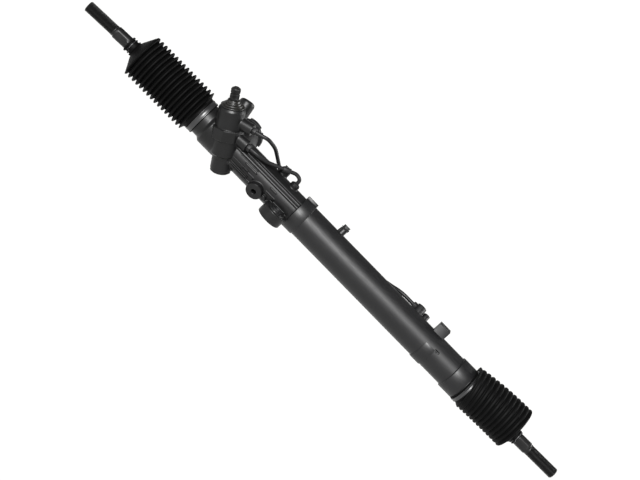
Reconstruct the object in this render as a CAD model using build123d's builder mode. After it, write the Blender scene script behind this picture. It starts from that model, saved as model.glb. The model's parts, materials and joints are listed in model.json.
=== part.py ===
from build123d import *
import math
import os

# A power-assisted rack-and-pinion steering gear. The rack's centre line is the X axis, the origin
# is the middle of the seat for the saddle clamp on the cylinder tube, +Z runs along the mounting
# bolt, and -Y is the pinion's side. All sizes are in millimetres.

# Fits
nest = 0.05             # gap round a piece that is pressed or screwed into another
running = 0.05          # radial gap of a shaft that turns or slides in a bore
soft_gap = 0.3          # gap between a rubber piece and a piece that moves in it
stop_gap = 0.3          # gap that is left between the lock washers and the stops at full travel

# Rack and pinion
rack_radius = 12.5
tooth_module = 2.0
pinion_teeth = 7
pressure_angle = 25.0
rack_addendum = 1.2
pinion_addendum = 1.6
root_clearance = 0.35
backlash = 0.2
rack_tip_height = 9.0   # from the rack's centre line to the tips of its teeth
pinion_lean = 31.5      # the pinion shaft leans this far toward the gear end of the rack
pinion_tilt = 12.0      # and this far forward
pinion_x = -285.5
travel_left = 43.0
travel_right = 81.0
tooth_run_out = 12.0    # toothed length beyond what the travel needs

# Gear housing
neck_start = -351.0
neck_end = -326.0
neck_radius = 26.5
case_end = -283.0
case_radius = 30.5
barrel_radius = 25.5
housing_end = -144.0
rack_room = 14.5        # radius of the plain bore round the rack
tower_radius = 20.5
tower_top = 64.5        # heights on the pinion shaft are measured from the rack's level
tower_foot = -36.5
tower_foot_radius = 16.0
tower_step = -12.0      # where the tower narrows to its foot
valve_bore = 14.5
valve_floor = 20.0
facet_radius = 24.5     # eight-sided band round the tower
facet_start = 14.5
facet_height = 18.0
guide_x = -278.0
guide_tower_radius = 24.5
guide_tower_length = 56.0

# Cylinder
tube_radius = 26.5
tube_wall = 4.0
tube_end = 236.0
collar_length = 19.5
collar_wall = 1.6
sleeve_start = 194.5
sleeve_end = 221.0
sleeve_wall = 2.0
piston_x = -47.0
piston_length = 16.0

# Tie rods and bellows
left_droop = 2.8        # the left tie rod hangs this many degrees below the rack's line
right_rise = 1.0        # and the right one points this far above it
ball_radius = 12.0
ball_housing_radius = 19.0
ball_depth = 16.0       # from the ball housing's inner face to the ball's centre
ball_mouth = 11.5       # from the ball's centre to the housing's mouth
washer_thickness = 3.2  # of the lock washer behind each ball housing
rod_radius = 10.0
thread_radius = 9.0     # M18
thread_length = 54.0
left_rod_tip = -575.0
right_rod_tip = 417.5
bellows_wall = 1.6
crest_radius = 37.0
fold_depth = 5.6

# Hydraulic lines
line_radius = 3.0

os.makedirs("parts", exist_ok=True)
across_x = Vector(1, 0, 0)
tube_bore = tube_radius - tube_wall

# The pinion shaft's direction, the way from the rack to the pinion, and the way the teeth travel
lean_slope = math.tan(math.radians(pinion_lean))
tilt_slope = math.tan(math.radians(pinion_tilt))
pinion_way = Vector(-lean_slope, -tilt_slope, 1).normalized()
mesh_way = across_x.cross(pinion_way).normalized()
tooth_way = pinion_way.cross(mesh_way)
pitch_radius = tooth_module * pinion_teeth / 2
pitch_height = rack_tip_height - rack_addendum
pinion_centre = Vector(pinion_x, 0, 0) + mesh_way * (pitch_height + pitch_radius)
guide_way = mesh_way * -1
guide_centre = Vector(guide_x, 0, 0)

# Both ball joints, worked back from the stops and the travel
left_ball_face = neck_start - travel_right - washer_thickness - stop_gap
right_ball_face = tube_end + travel_left + washer_thickness + stop_gap
left_ball = Vector(left_ball_face - ball_depth, 0, 0)
right_ball = Vector(right_ball_face + ball_depth, 0, 0)
left_way = Vector(-math.cos(math.radians(left_droop)), 0, -math.sin(math.radians(left_droop)))
right_way = Vector(math.cos(math.radians(right_rise)), 0, math.sin(math.radians(right_rise)))


def across(x):
    """The plane square to the rack at station x, with +Y to its right and +Z up."""
    return Plane(origin=(x, 0, 0), x_dir=(0, 1, 0), z_dir=(1, 0, 0))


def across_pinion(height):
    """The plane square to the pinion shaft, whose local y points back at the rack."""
    return Plane(origin=pinion_centre + pinion_way * height, x_dir=tooth_way, z_dir=pinion_way)


def across_guide(depth):
    """The plane square to the rack guide's bore, at a depth behind the rack's centre line."""
    return Plane(origin=guide_centre + guide_way * depth, x_dir=(1, 0, 0), z_dir=guide_way)


rack_section = Plane.XZ
pinion_section = Plane(origin=pinion_centre, x_dir=pinion_way, z_dir=guide_way)
guide_section = Plane(origin=guide_centre, x_dir=guide_way, z_dir=(1, 0, 0))
left_rod_section = Plane(origin=left_ball, x_dir=left_way, z_dir=(0, 1, 0))
right_rod_section = Plane(origin=right_ball, x_dir=right_way, z_dir=(0, 1, 0))


def turned(outline, section=rack_section):
    """A turned piece: its outline is (place along the axis, radius) points in the section plane."""
    with BuildPart() as piece:
        with BuildSketch(section):
            with BuildLine():
                Polyline(*outline, close=True)
            make_face()
        revolve(axis=Axis(section.origin, section.x_dir))
    return piece


def ring(start, end, outer, inner, section=rack_section):
    """A plain ring between two places along the axis."""
    return turned([(start, inner), (start, outer), (end, outer), (end, inner)], section)


def save(piece, name):
    """Label a finished piece and write it to its own file."""
    piece.part.label = name
    export_step(piece.part, f"parts/{name}.step")
    return piece


# ---------------------------------------------------------------- gear housing
rib_width = 3.0
rib_height = 2.8
rib_angles = [134, 152, 214]                # round the barrel, from +Y through +Z to the front
bar_angle = 191
boss_x = -164.7                             # mounting boss
boss_y = -36.0
boss_radius = 20.0
boss_foot = -27.0
boss_step = -10.0
boss_neck_radius = 15.5
boss_top = -8.0
bush_bore = 15.5
web_inset = 3.0         # from the mounting boss's faces to its web
guide_radius = 16.0
plug_radius = 19.0
plug_front = 33.0
plug_bore_start = plug_front - 3.0
bracket_boss_centre = Vector(-208, -28, -17)
bracket_boss_way = Vector(0, -0.9, -0.43).normalized()
bracket_boss_radius = 13.5
bracket_hole_radius = 4.2
bracket_hole_depth = 14.0
pad_x = -192.0          # small round pad beside the bracket boss
pad_way = Vector(0, -0.85, -0.53).normalized()
pad_radius = 5.0
pad_height = 29.0

# The two line ports leave the tower toward the tube, and the supply port stands behind it
port_ways = {"lower": Vector(0.97, -0.20, 0.14).normalized(),
             "upper": Vector(0.945, -0.15, 0.29).normalized()}
port_boss_radius = 9.2
port_boss_reach = 39.0
port_heights = {"lower": 26.5, "upper": 47.0}
line_nut_length = 8.0
line_nut_seat = 2.0     # how far the nut's nose goes into the port
cap_bore = 13.3
cap_height = 6.5        # of the part that stands out of the foot
cap_wall = 2.0
cap_seat = -21.6
lower_bearing_start = -21.6
lower_bearing_end = -17.2
lower_bearing_radius = 11.0
supply_mouth = Vector(-308.5, 9.3, 65.5)
supply_way = Vector(-0.20, 0.35, 0.915).normalized()
supply_boss_radius = 12.5
supply_boss_length = 46.0
supply_rounding = 4.5
supply_thread_radius = 7.0
supply_thread_depth = 14.0
return_mouth = Vector(-324, 24, 34)
return_way = Vector(-0.35, 0.88, 0.30).normalized()
return_boss_radius = 10.0
return_boss_length = 34.0
near_port_x = -171.0
near_port_way = Vector(0, -0.10, 0.995).normalized()
near_port_height = 31.0
near_seat_height = 28.0
near_nut_radius = 6.0
near_port_radius = 7.5
clip_boss_x = -196.0
clip_boss_way = Vector(0, 0.20, 0.98).normalized()
clip_boss_height = 33.0
clip_boss_radius = 8.5
clip_bolt_radius = 3.0
clip_bolt_depth = 10.0
inner_seal_start = housing_end - 8.5
inner_seal_end = housing_end - 0.5
inner_seal_bore = 17.5
backing_thickness = 3.0
passage_radius = 1.7    # of the drilling that leads from the near port into the cylinder
passage_height = 20.8


def facing(point, way):
    """A plane at a point that looks along a direction, with its local x level."""
    level = Vector(way.Y, -way.X, 0)
    if level.length < 0.01:
        level = Vector(1, 0, 0)
    return Plane(origin=point, x_dir=level, z_dir=way)


def radial(x, way, distance=0.0):
    """A plane on the rack's centre line at station x, raised by a distance along a direction."""
    return Plane(origin=Vector(x, 0, 0) + way * distance, x_dir=(1, 0, 0), z_dir=way)


def port_plane(port, distance=0.0):
    """The plane square to a line port, at a distance from the pinion shaft's axis."""
    return facing(pinion_centre + pinion_way * port_heights[port] + port_ways[port] * distance,
                  port_ways[port])


with BuildPart() as gear_housing:
    # barrel, neck for the bellows, and the thicker case round the pinion
    with BuildSketch(across(neck_start)):
        Circle(neck_radius)
    extrude(amount=neck_end - neck_start)
    with BuildSketch(rack_section):
        with BuildLine():
            Polyline((neck_end, 0), (neck_end, neck_radius), (neck_end + 5, case_radius),
                     (case_end - 8, case_radius), (case_end, barrel_radius), (case_end, 0), close=True)
        make_face()
    revolve(axis=Axis.X)
    with BuildSketch(across(case_end)):
        Circle(barrel_radius)
        for angle in rib_angles:
            with PolarLocations(barrel_radius, 1, start_angle=angle):
                Rectangle(2 * rib_height, rib_width)
    extrude(amount=housing_end - case_end)
    # two short bars on the barrel's front
    for bar_start, bar_end in ((-245.0, -222.0), (-196.0, -178.0)):
        with BuildSketch(across(bar_start)):
            with PolarLocations(barrel_radius, 1, start_angle=bar_angle):
                Rectangle(2 * rib_height, rib_width)
        extrude(amount=bar_end - bar_start)
    # tower for the pinion and valve
    with BuildSketch(across_pinion(tower_foot)):
        Circle(tower_foot_radius)
    extrude(amount=-tower_foot)
    with BuildSketch(pinion_section):
        with BuildLine():
            Polyline((tower_step - 2, 0), (tower_step - 2, tower_foot_radius),
                     (tower_step + 2, tower_radius), (tower_top - 4, tower_radius),
                     (tower_top, tower_radius - 2.5), (tower_top, 0), close=True)
        make_face()
    revolve(axis=Axis(pinion_centre, pinion_way))
    with BuildSketch(across_pinion(facet_start)):
        RegularPolygon(radius=facet_radius, side_count=8)
    extrude(amount=facet_height)
    # tower for the rack guide
    with BuildSketch(across_guide(0)):
        Circle(guide_tower_radius)
    extrude(amount=guide_tower_length)
    # bosses of the line ports, the supply port and the return port
    for port in port_heights:
        with BuildSketch(port_plane(port)):
            Circle(port_boss_radius)
        extrude(amount=port_boss_reach)
    with BuildSketch(Plane(origin=supply_mouth, x_dir=supply_way, z_dir=supply_way.cross(across_x))):
        with BuildLine():
            Polyline((-supply_boss_length, 0), (-supply_boss_length, supply_boss_radius),
                     (-supply_rounding, supply_boss_radius),
                     (-0.3 * supply_rounding, supply_boss_radius - 0.3 * supply_rounding),
                     (0, supply_boss_radius - 0.9 * supply_rounding), (0, 0), close=True)
        make_face()
    revolve(axis=Axis(supply_mouth, supply_way))
    with BuildSketch(facing(return_mouth, return_way)):
        Circle(return_boss_radius)
    extrude(amount=-return_boss_length)
    # boss for a bracket, with its web
    with BuildSketch(facing(bracket_boss_centre, bracket_boss_way)):
        Circle(bracket_boss_radius)
    extrude(amount=-24)
    with BuildSketch(radial(pad_x, pad_way, pad_height)):
        Circle(pad_radius)
    extrude(amount=-10)
    # port and clip bosses on the barrel's back
    with BuildSketch(radial(near_port_x, near_port_way, near_port_height)):
        Circle(near_port_radius)
    extrude(amount=-12)
    with BuildSketch(radial(clip_boss_x, clip_boss_way, clip_boss_height)):
        Circle(clip_boss_radius)
    extrude(amount=-12)
    # mounting boss and the webs that carry it
    with BuildSketch(Plane.XY.offset(boss_foot)):
        with Locations((boss_x, boss_y)):
            Circle(boss_radius)
    extrude(amount=boss_step - boss_foot)
    with BuildSketch(Plane.XY.offset(boss_foot)):
        with Locations((boss_x, boss_y)):
            Circle(boss_neck_radius)
    extrude(amount=boss_top - boss_foot)
    with BuildSketch(Plane.XY.offset(boss_foot + web_inset)):
        with Locations((boss_x, boss_y / 2)):
            Rectangle(1.5 * boss_radius, -boss_y)
    extrude(amount=boss_step - boss_foot - 2 * web_inset)
    # bores: rack, cylinder end, bush, pinion, valve, rack guide
    with BuildSketch(across(neck_start)):
        Circle(rack_room)
    extrude(amount=housing_end - neck_start, mode=Mode.SUBTRACT)
    with BuildSketch(across(inner_seal_start)):
        Circle(inner_seal_bore)
    extrude(amount=housing_end - inner_seal_start, mode=Mode.SUBTRACT)
    with BuildSketch(across(near_port_x)):
        with Locations((near_port_way.Y * passage_height, near_port_way.Z * passage_height)):
            Circle(passage_radius)
    extrude(amount=housing_end - near_port_x, mode=Mode.SUBTRACT)
    with BuildSketch(across(neck_start)):
        Circle(rack_room + 2.5)
    extrude(amount=20, mode=Mode.SUBTRACT)
    with BuildSketch(across_pinion(tower_foot)):
        Circle(cap_bore)
    extrude(amount=cap_seat - tower_foot, mode=Mode.SUBTRACT)
    with BuildSketch(across_pinion(tower_foot)):
        Circle(lower_bearing_radius)
    extrude(amount=lower_bearing_end - tower_foot, mode=Mode.SUBTRACT)
    with BuildSketch(across_pinion(tower_foot)):
        Circle(tower_foot_radius + 0.5)
    extrude(amount=-20, mode=Mode.SUBTRACT)
    with BuildSketch(across_pinion(tower_foot)):
        Circle(10.5)
    extrude(amount=valve_floor - tower_foot, mode=Mode.SUBTRACT)
    with BuildSketch(across_pinion(valve_floor)):
        Circle(valve_bore)
    extrude(amount=tower_top - valve_floor, mode=Mode.SUBTRACT)
    with BuildSketch(across_guide(0)):
        Circle(guide_radius + running)
    extrude(amount=guide_tower_length, mode=Mode.SUBTRACT)
    with BuildSketch(across_guide(plug_bore_start)):
        Circle(plug_radius)
    extrude(amount=guide_tower_length - plug_bore_start, mode=Mode.SUBTRACT)
    # drillings of the ports
    for port in port_heights:
        with BuildSketch(port_plane(port)):
            Circle(line_radius + nest)
        extrude(amount=port_boss_reach, mode=Mode.SUBTRACT)
    with BuildSketch(facing(supply_mouth, supply_way)):
        Circle(supply_thread_radius)
    extrude(amount=-supply_thread_depth, mode=Mode.SUBTRACT)
    with BuildSketch(facing(return_mouth, return_way)):
        Circle(supply_thread_radius)
    extrude(amount=-supply_thread_depth, mode=Mode.SUBTRACT)
    with BuildSketch(facing(bracket_boss_centre, bracket_boss_way)):
        Circle(bracket_hole_radius)
    extrude(amount=-bracket_hole_depth, mode=Mode.SUBTRACT)
    with BuildSketch(radial(near_port_x, near_port_way, near_port_height)):
        Circle(line_radius + nest)
    extrude(amount=passage_height - passage_radius - near_port_height, mode=Mode.SUBTRACT)
    with BuildSketch(radial(near_port_x, near_port_way, near_port_height)):
        Circle(near_nut_radius + nest)
    extrude(amount=near_seat_height - near_port_height, mode=Mode.SUBTRACT)
    with BuildSketch(radial(clip_boss_x, clip_boss_way, clip_boss_height)):
        Circle(clip_bolt_radius + nest)
    extrude(amount=-clip_bolt_depth, mode=Mode.SUBTRACT)
    # bore of the mounting bush
    with BuildSketch(Plane.XY.offset(boss_foot)):
        with Locations((boss_x, boss_y)):
            Circle(bush_bore)
    extrude(amount=boss_step - 3 - boss_foot, mode=Mode.SUBTRACT)
    with BuildSketch(Plane.XY.offset(boss_foot)):
        with Locations((boss_x, boss_y)):
            Circle(9.5)
    extrude(amount=2 * boss_radius - boss_foot, mode=Mode.SUBTRACT)
save(gear_housing, "gear_housing")


# ---------------------------------------------------------------- rack
tooth_pitch = math.pi * tooth_module
lean_in_teeth = across_x.dot(tooth_way)             # share of the rack's speed that is across its teeth
tooth_zone_start = pinion_x - travel_right - tooth_run_out
tooth_zone_end = pinion_x + travel_left + tooth_run_out
slope = math.tan(math.radians(pressure_angle))


def tooth_space():
    """One space between rack teeth, as points of (place across the teeth, height from the centre line)."""
    root = pitch_height - pinion_addendum - root_clearance
    top = rack_tip_height + 1
    half = (tooth_pitch / 2 + backlash) / 2
    at_root = half - (pitch_height - root) * slope
    at_top = half + (top - pitch_height) * slope
    return [(-at_root, root), (at_root, root), (at_top, top), (-at_top, top)]


tooth_step = tooth_pitch / lean_in_teeth
spaces_left = int((pinion_x - tooth_zone_start) / tooth_step)
spaces_right = int((tooth_zone_end - pinion_x) / tooth_step)
tooth_plane = Plane(origin=(pinion_x, 0, 0), x_dir=tooth_way, z_dir=guide_way.cross(tooth_way))

with BuildPart() as rack_bar:
    with BuildSketch(across(left_ball_face)):
        Circle(rack_radius)
    extrude(amount=right_ball_face - left_ball_face)
    chamfer(rack_bar.edges().filter_by(GeomType.CIRCLE), 1.0)
    # the flat that carries the teeth
    with BuildSketch(radial((tooth_zone_start + tooth_zone_end) / 2, mesh_way, rack_tip_height)):
        Rectangle(tooth_zone_end - tooth_zone_start, 2 * rack_radius)
    extrude(amount=rack_radius, mode=Mode.SUBTRACT)
    # the spaces between the teeth run parallel to the pinion shaft
    with BuildSketch(tooth_plane):
        for step in range(-spaces_left, spaces_right + 1):
            with Locations((step * tooth_pitch, 0)):
                Polygon(*tooth_space(), align=None)
    extrude(amount=6 * rack_radius, both=True, mode=Mode.SUBTRACT)
    # grooves of the two rings that hold the piston
    for side in (-1, 1):
        with BuildSketch(across(piston_x + side * (piston_length / 2 + 1.0) - 0.8)):
            Circle(rack_radius + 1)
            Circle(rack_radius - 1.2, mode=Mode.SUBTRACT)
        extrude(amount=1.6, mode=Mode.SUBTRACT)
save(rack_bar, "rack_bar")

half_piston = piston_length / 2
piston = turned([(piston_x - half_piston, rack_radius + nest), (piston_x - half_piston, tube_bore - 2.5),
                 (piston_x - half_piston + 2, tube_bore - 0.4), (piston_x - 2.2, tube_bore - 0.4),
                 (piston_x - 2.2, tube_bore - 3.4), (piston_x + 2.2, tube_bore - 3.4),
                 (piston_x + 2.2, tube_bore - 0.4), (piston_x + half_piston - 2, tube_bore - 0.4),
                 (piston_x + half_piston, tube_bore - 2.5), (piston_x + half_piston, rack_radius + nest)])
save(piston, "piston")
save(ring(piston_x - 2.1, piston_x + 2.1, tube_bore - running, tube_bore - 3.3), "piston_ring")

with BuildPart() as piston_snap_rings:
    for side in (-1, 1):
        with BuildSketch(across(piston_x + side * (half_piston + 1.0) - 0.75)):
            Circle(rack_radius + 1.6)
            Circle(rack_radius - 1.15, mode=Mode.SUBTRACT)
            with Locations((0, -rack_radius)):
                Rectangle(6, 8, mode=Mode.SUBTRACT)
        extrude(amount=1.5)
save(piston_snap_rings, "piston_snap_rings")


# ---------------------------------------------------------------- pinion and valve
def pinion_tooth():
    """One pinion tooth that points along local +y: involute flanks above the base circle."""
    base = pitch_radius * math.cos(math.radians(pressure_angle))
    root = pitch_radius - rack_addendum - root_clearance
    tip = pitch_radius + pinion_addendum
    half_angle = (tooth_pitch / 2 - backlash) / (2 * pitch_radius)
    involute = slope - math.radians(pressure_angle)
    radii = [root - 0.5, base] + [base + (tip - base) * share for share in (0.3, 0.65, 1.0)]
    flank = []
    for radius in radii:
        roll = math.acos(min(1.0, base / radius))
        turn = half_angle + involute - (math.tan(roll) - roll)
        flank.append((radius * math.sin(turn), radius * math.cos(turn)))
    return flank + [(-x, y) for x, y in reversed(flank)]


face_start = -10.5
face_end = 10.5
journal_radius = 5.0
journal_end = -25.4
pinion_root = pitch_radius - rack_addendum - root_clearance
seal_seat_radius = 9.0
seal_seat_start = 15.0
pinion_head_start = 23.5
pinion_head_end = 29.5
sleeve_inner = 10.5
spool_radius = sleeve_inner - running
torsion_radius = 2.6
torsion_end_radius = 3.4

with BuildPart() as pinion_shaft:
    with BuildSketch(across_pinion(face_start)):
        Circle(pinion_root)
        with PolarLocations(0, pinion_teeth):
            Polygon(*pinion_tooth(), align=None)
    extrude(amount=face_end - face_start)
    with BuildSketch(across_pinion(journal_end)):
        Circle(journal_radius)
    extrude(amount=face_start - journal_end)
    with BuildSketch(across_pinion(face_end)):
        Circle(pinion_root)
    extrude(amount=seal_seat_start - face_end)
    with BuildSketch(across_pinion(seal_seat_start)):
        Circle(seal_seat_radius)
    extrude(amount=pinion_head_start - seal_seat_start)
    with BuildSketch(across_pinion(pinion_head_start)):
        Circle(spool_radius)
    extrude(amount=pinion_head_end - pinion_head_start)
    with BuildSketch(across_pinion(0)):
        Circle(torsion_end_radius + nest)
    extrude(amount=pinion_head_end, mode=Mode.SUBTRACT)
save(pinion_shaft, "pinion_shaft")

with BuildPart() as pinion_nut:
    with BuildSketch(across_pinion(lower_bearing_start - nest)):
        RegularPolygon(radius=9.0, side_count=6)
        Circle(journal_radius + nest, mode=Mode.SUBTRACT)
    extrude(amount=-3.6)
save(pinion_nut, "pinion_nut")

race_inner = 6.8
race_outer = 9.3
save(ring(lower_bearing_start, lower_bearing_end, lower_bearing_radius - nest, race_outer, pinion_section),
     "lower_bearing_outer")
save(ring(lower_bearing_start, lower_bearing_end, race_inner, journal_radius + nest, pinion_section),
     "lower_bearing_inner")
with BuildPart() as lower_bearing_balls:
    with Locations(across_pinion((lower_bearing_start + lower_bearing_end) / 2)):
        with PolarLocations((race_inner + race_outer) / 2, 9):
            Sphere((race_outer - race_inner) / 2 - running)
save(lower_bearing_balls, "lower_bearing_balls")

save(ring(valve_floor + nest, pinion_head_start - 0.5, valve_bore - nest, seal_seat_radius + running,
          pinion_section), "pinion_seal")

groove = 1.2
ports_on_sleeve = sorted(port_heights.values())
sleeve_outline = [(pinion_head_start, sleeve_inner), (pinion_head_start, valve_bore - running)]
for height in (ports_on_sleeve[0], sum(ports_on_sleeve) / 2, ports_on_sleeve[1]):
    sleeve_outline += [(height - 2, valve_bore - running), (height - 2, valve_bore - groove),
                       (height + 2, valve_bore - groove), (height + 2, valve_bore - running)]
sleeve_top = 54.5
sleeve_outline += [(sleeve_top, valve_bore - running), (sleeve_top, sleeve_inner)]
save(turned(sleeve_outline, pinion_section), "valve_sleeve")

torsion_bottom = 1.0
torsion_top = 92.0
save(turned([(torsion_bottom, 0), (torsion_bottom, torsion_end_radius), (16, torsion_end_radius),
             (19, torsion_radius), (78, torsion_radius), (80, torsion_end_radius - 0.2),
             (torsion_top, torsion_end_radius - 0.2), (torsion_top, 0)], pinion_section), "torsion_bar")

spline_radius = 7.25
spline_start = 78.0
shank_radius = 6.8
bearing_seat_radius = 9.0
shaft_tip = 95.5
cover_start = tower_top + 0.5
cover_end = tower_top + 11.0
spool_start = pinion_head_end + 0.5
with BuildPart() as input_shaft:
    with BuildSketch(pinion_section):
        with BuildLine():
            Polyline((spool_start, 0), (spool_start, spool_radius), (sleeve_top + 0.5, spool_radius),
                     (sleeve_top + 0.5, bearing_seat_radius), (tower_top + 3, bearing_seat_radius),
                     (tower_top + 3, shank_radius), (spline_start - 0.4, shank_radius),
                     (spline_start, spline_radius), (shaft_tip - 3.5, spline_radius),
                     (shaft_tip - 1.2, 5.6), (shaft_tip, 3.5), (shaft_tip, 0), close=True)
        make_face()
    revolve(axis=Axis(pinion_centre, pinion_way))
    with BuildSketch(across_pinion(spool_start)):
        Circle(torsion_end_radius)
    extrude(amount=torsion_top + 0.5 - spool_start, mode=Mode.SUBTRACT)
    # groove for the clamp bolt of the steering column's joint
    with BuildSketch(pinion_section):
        with Locations((85.0, spline_radius)):
            Circle(2.0)
    revolve(axis=Axis(pinion_centre, pinion_way), mode=Mode.SUBTRACT)
save(input_shaft, "input_shaft")

# screwed ring that closes the tower, with the upper bearing and oil seal inside it
retainer_start = sleeve_top + 1.0
retainer_bore = 11.8
save(turned([(retainer_start, retainer_bore), (retainer_start, valve_bore - nest),
             (tower_top, valve_bore - nest), (tower_top, retainer_bore)], pinion_section), "valve_retainer")
save(ring(retainer_start + 0.5, tower_top - 3.7, retainer_bore - nest,
          bearing_seat_radius + running, pinion_section), "upper_bearing")
save(ring(tower_top - 3.6, tower_top - 0.2, retainer_bore - nest,
          bearing_seat_radius + running, pinion_section), "input_shaft_seal")

dust_cover = turned([(cover_start, 11.5), (cover_start, 18.2), (cover_start + 1.6, 17.4),
                     (cover_start + 2.2, 14.6), (cover_start + 4.0, 14.0), (cover_start + 4.6, 11.8),
                     (cover_start + 6.6, 11.2), (cover_start + 7.2, 9.6), (cover_end - 0.8, 9.2),
                     (cover_end, 8.2), (cover_end, shank_radius + nest),
                     (cover_start + 4.4, shank_radius + nest), (cover_start + 3.4, 10.5)], pinion_section)
save(dust_cover, "dust_cover")

# cap that closes the tower's foot
cap_end = tower_foot - cap_height
cap_rim = tower_foot_radius - 0.6
save(turned([(cap_end, 0), (cap_end, cap_rim - 7.5), (cap_end + 1.2, cap_rim - 2.8),
             (cap_end + 3.4, cap_rim), (tower_foot, cap_rim), (tower_foot, cap_bore - nest),
             (cap_seat - nest, cap_bore - nest), (cap_seat - nest, cap_bore - cap_wall),
             (cap_end + cap_wall, cap_bore - cap_wall - 2), (cap_end + cap_wall, 0)],
            pinion_section), "bottom_cap")

# ---------------------------------------------------------------- rack guide
saddle_radius = rack_radius + running
liner_thickness = 0.8
guide_front = 4.0
guide_back = 28.0
plug_back = guide_tower_length + 6.0
nut_start = guide_tower_length
nut_thickness = 8.5
nut_radius = 28.5

with BuildPart() as rack_guide:
    with BuildSketch(across_guide(guide_front)):
        Circle(guide_radius)
    extrude(amount=guide_back - guide_front)
    with BuildSketch(across(guide_x - guide_radius)):
        Circle(saddle_radius + liner_thickness + nest)
    extrude(amount=2 * guide_radius, mode=Mode.SUBTRACT)
    with BuildSketch(across_guide(22)):
        Circle(9.0)
    extrude(amount=6, mode=Mode.SUBTRACT)
save(rack_guide, "rack_guide")

with BuildPart() as guide_liner:
    with BuildSketch(Plane(origin=(guide_x - 11, 0, 0), x_dir=guide_way, z_dir=(1, 0, 0))):
        Circle(saddle_radius + liner_thickness)
        Circle(saddle_radius, mode=Mode.SUBTRACT)
        with Locations((-14 + 7.5, 0)):
            Rectangle(28, 40, mode=Mode.SUBTRACT)
    extrude(amount=22)
save(guide_liner, "guide_liner")

with BuildPart() as guide_spring:
    spring_wire = 1.3
    for turn_start in (22.1, 25.6, 29.1):
        with BuildSketch(guide_section):
            with BuildLine():
                Polyline((turn_start, 4.0), (turn_start + spring_wire, 4.0), (turn_start + 3.4, 8.6),
                         (turn_start + 3.4 - spring_wire, 8.6), close=True)
            make_face()
        revolve(axis=Axis(guide_centre, guide_way))
save(guide_spring, "guide_spring")

with BuildPart() as adjuster_plug:
    with BuildSketch(across_guide(plug_front)):
        Circle(plug_radius - nest)
    extrude(amount=plug_back - plug_front)
    with BuildSketch(across_guide(plug_back)):
        RegularPolygon(radius=8.0, side_count=6)
    extrude(amount=-7, mode=Mode.SUBTRACT)
save(adjuster_plug, "adjuster_plug")

with BuildPart() as adjuster_lock_nut:
    with BuildSketch(across_guide(nut_start)):
        Circle(nut_radius)
        Circle(plug_radius, mode=Mode.SUBTRACT)
        with PolarLocations(nut_radius, 6):
            Rectangle(5, 7, mode=Mode.SUBTRACT)
    extrude(amount=nut_thickness)
save(adjuster_lock_nut, "adjuster_lock_nut")

# ---------------------------------------------------------------- cylinder
far_port_x = 96.0
far_port_way = Vector(0, 0.55, 0.835).normalized()
far_port_radius = 8.75
far_port_height = tube_radius + 11.5
far_line_height = tube_radius + 5.1
far_lug_x = 110.5
far_lug_radius = 5.5
far_lug_height = tube_radius + 8.0
stop_lug_x = 140.5
stop_lug_y = 3.0
stop_lug_size = 20.0
stop_lug_width = 15.0
stop_lug_top = tube_radius + 14.5
lug_hole_radius = 3.4
lug_hole_depth = 10.0
band_start = 133.0      # raised band round the tube's front and foot, under the lug
band_end = 151.0
band_wall = 1.3
band_tilt = -32.0       # it reaches higher at the front than at the back
window_x = 154.5
window_way = Vector(0, -0.908, 0.419).normalized()
clip_x = -71.0
clip_way = Vector(0, 0.26, 0.966).normalized()
clip_height = tube_radius + 7.4
clip_boss_size = 5.5
far_face_x = far_port_x - far_port_radius + 1.5

with BuildPart() as cylinder_tube:
    with BuildSketch(across(housing_end)):
        Circle(tube_radius)
    extrude(amount=tube_end - housing_end)
    # union of the far line, brazed on
    with BuildSketch(radial(far_port_x, far_port_way, far_port_height)):
        Circle(far_port_radius)
    extrude(amount=-(far_port_height - tube_radius + 6))
    with BuildSketch(radial(far_lug_x, far_port_way, far_lug_height)):
        Circle(far_lug_radius)
    extrude(amount=-(far_lug_height - tube_radius + 6))
    with BuildSketch(across(far_face_x)):
        with Locations((far_port_way.Y * far_line_height, far_port_way.Z * far_line_height)):
            Rectangle(18, 13)
    extrude(amount=-2 * far_port_radius, mode=Mode.SUBTRACT)
    with BuildSketch(across(far_face_x)):
        with Locations((far_port_way.Y * far_line_height, far_port_way.Z * far_line_height)):
            Circle(line_radius + nest)
    extrude(amount=far_port_radius, mode=Mode.SUBTRACT)
    # boss that the line's clip is bolted to
    with BuildSketch(radial(clip_x, clip_way, clip_height)):
        Circle(clip_boss_size)
    extrude(amount=-(clip_height - tube_radius + 3))
    with BuildSketch(radial(clip_x, clip_way, clip_height)):
        Circle(clip_bolt_radius + nest)
    extrude(amount=-(clip_height - tube_radius), mode=Mode.SUBTRACT)
    # square lug on top, and the raised band below it
    with BuildSketch(Plane.XY.offset(tube_radius - 3)):
        with Locations((stop_lug_x, stop_lug_y)):
            Rectangle(stop_lug_size, stop_lug_width)
    extrude(amount=stop_lug_top - tube_radius + 3)
    with BuildSketch(across(band_start)):
        Circle(tube_radius + band_wall)
        with Locations((0, tube_radius)):
            Rectangle(4 * tube_radius, 2 * tube_radius, rotation=band_tilt, mode=Mode.SUBTRACT)
    extrude(amount=band_end - band_start)
    with BuildSketch(across(housing_end)):
        Circle(tube_bore)
    extrude(amount=tube_end - housing_end, mode=Mode.SUBTRACT)
    with BuildSketch(radial(far_port_x, far_port_way, tube_radius + 6)):
        Circle(2.5)
    extrude(amount=-12, mode=Mode.SUBTRACT)
    with BuildSketch(Plane.XY.offset(stop_lug_top)):
        with Locations((stop_lug_x, stop_lug_y)):
            Circle(lug_hole_radius)
    extrude(amount=-lug_hole_depth, mode=Mode.SUBTRACT)
    # window over the retaining wire
    with BuildSketch(radial(window_x, window_way, tube_radius + 2)):
        RectangleRounded(9, 5, 1.5)
    extrude(amount=-tube_wall - 4, mode=Mode.SUBTRACT)
    with BuildSketch(across(window_x - 1.3)):
        Circle(tube_bore + 1.3)
    extrude(amount=2.6, mode=Mode.SUBTRACT)
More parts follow.
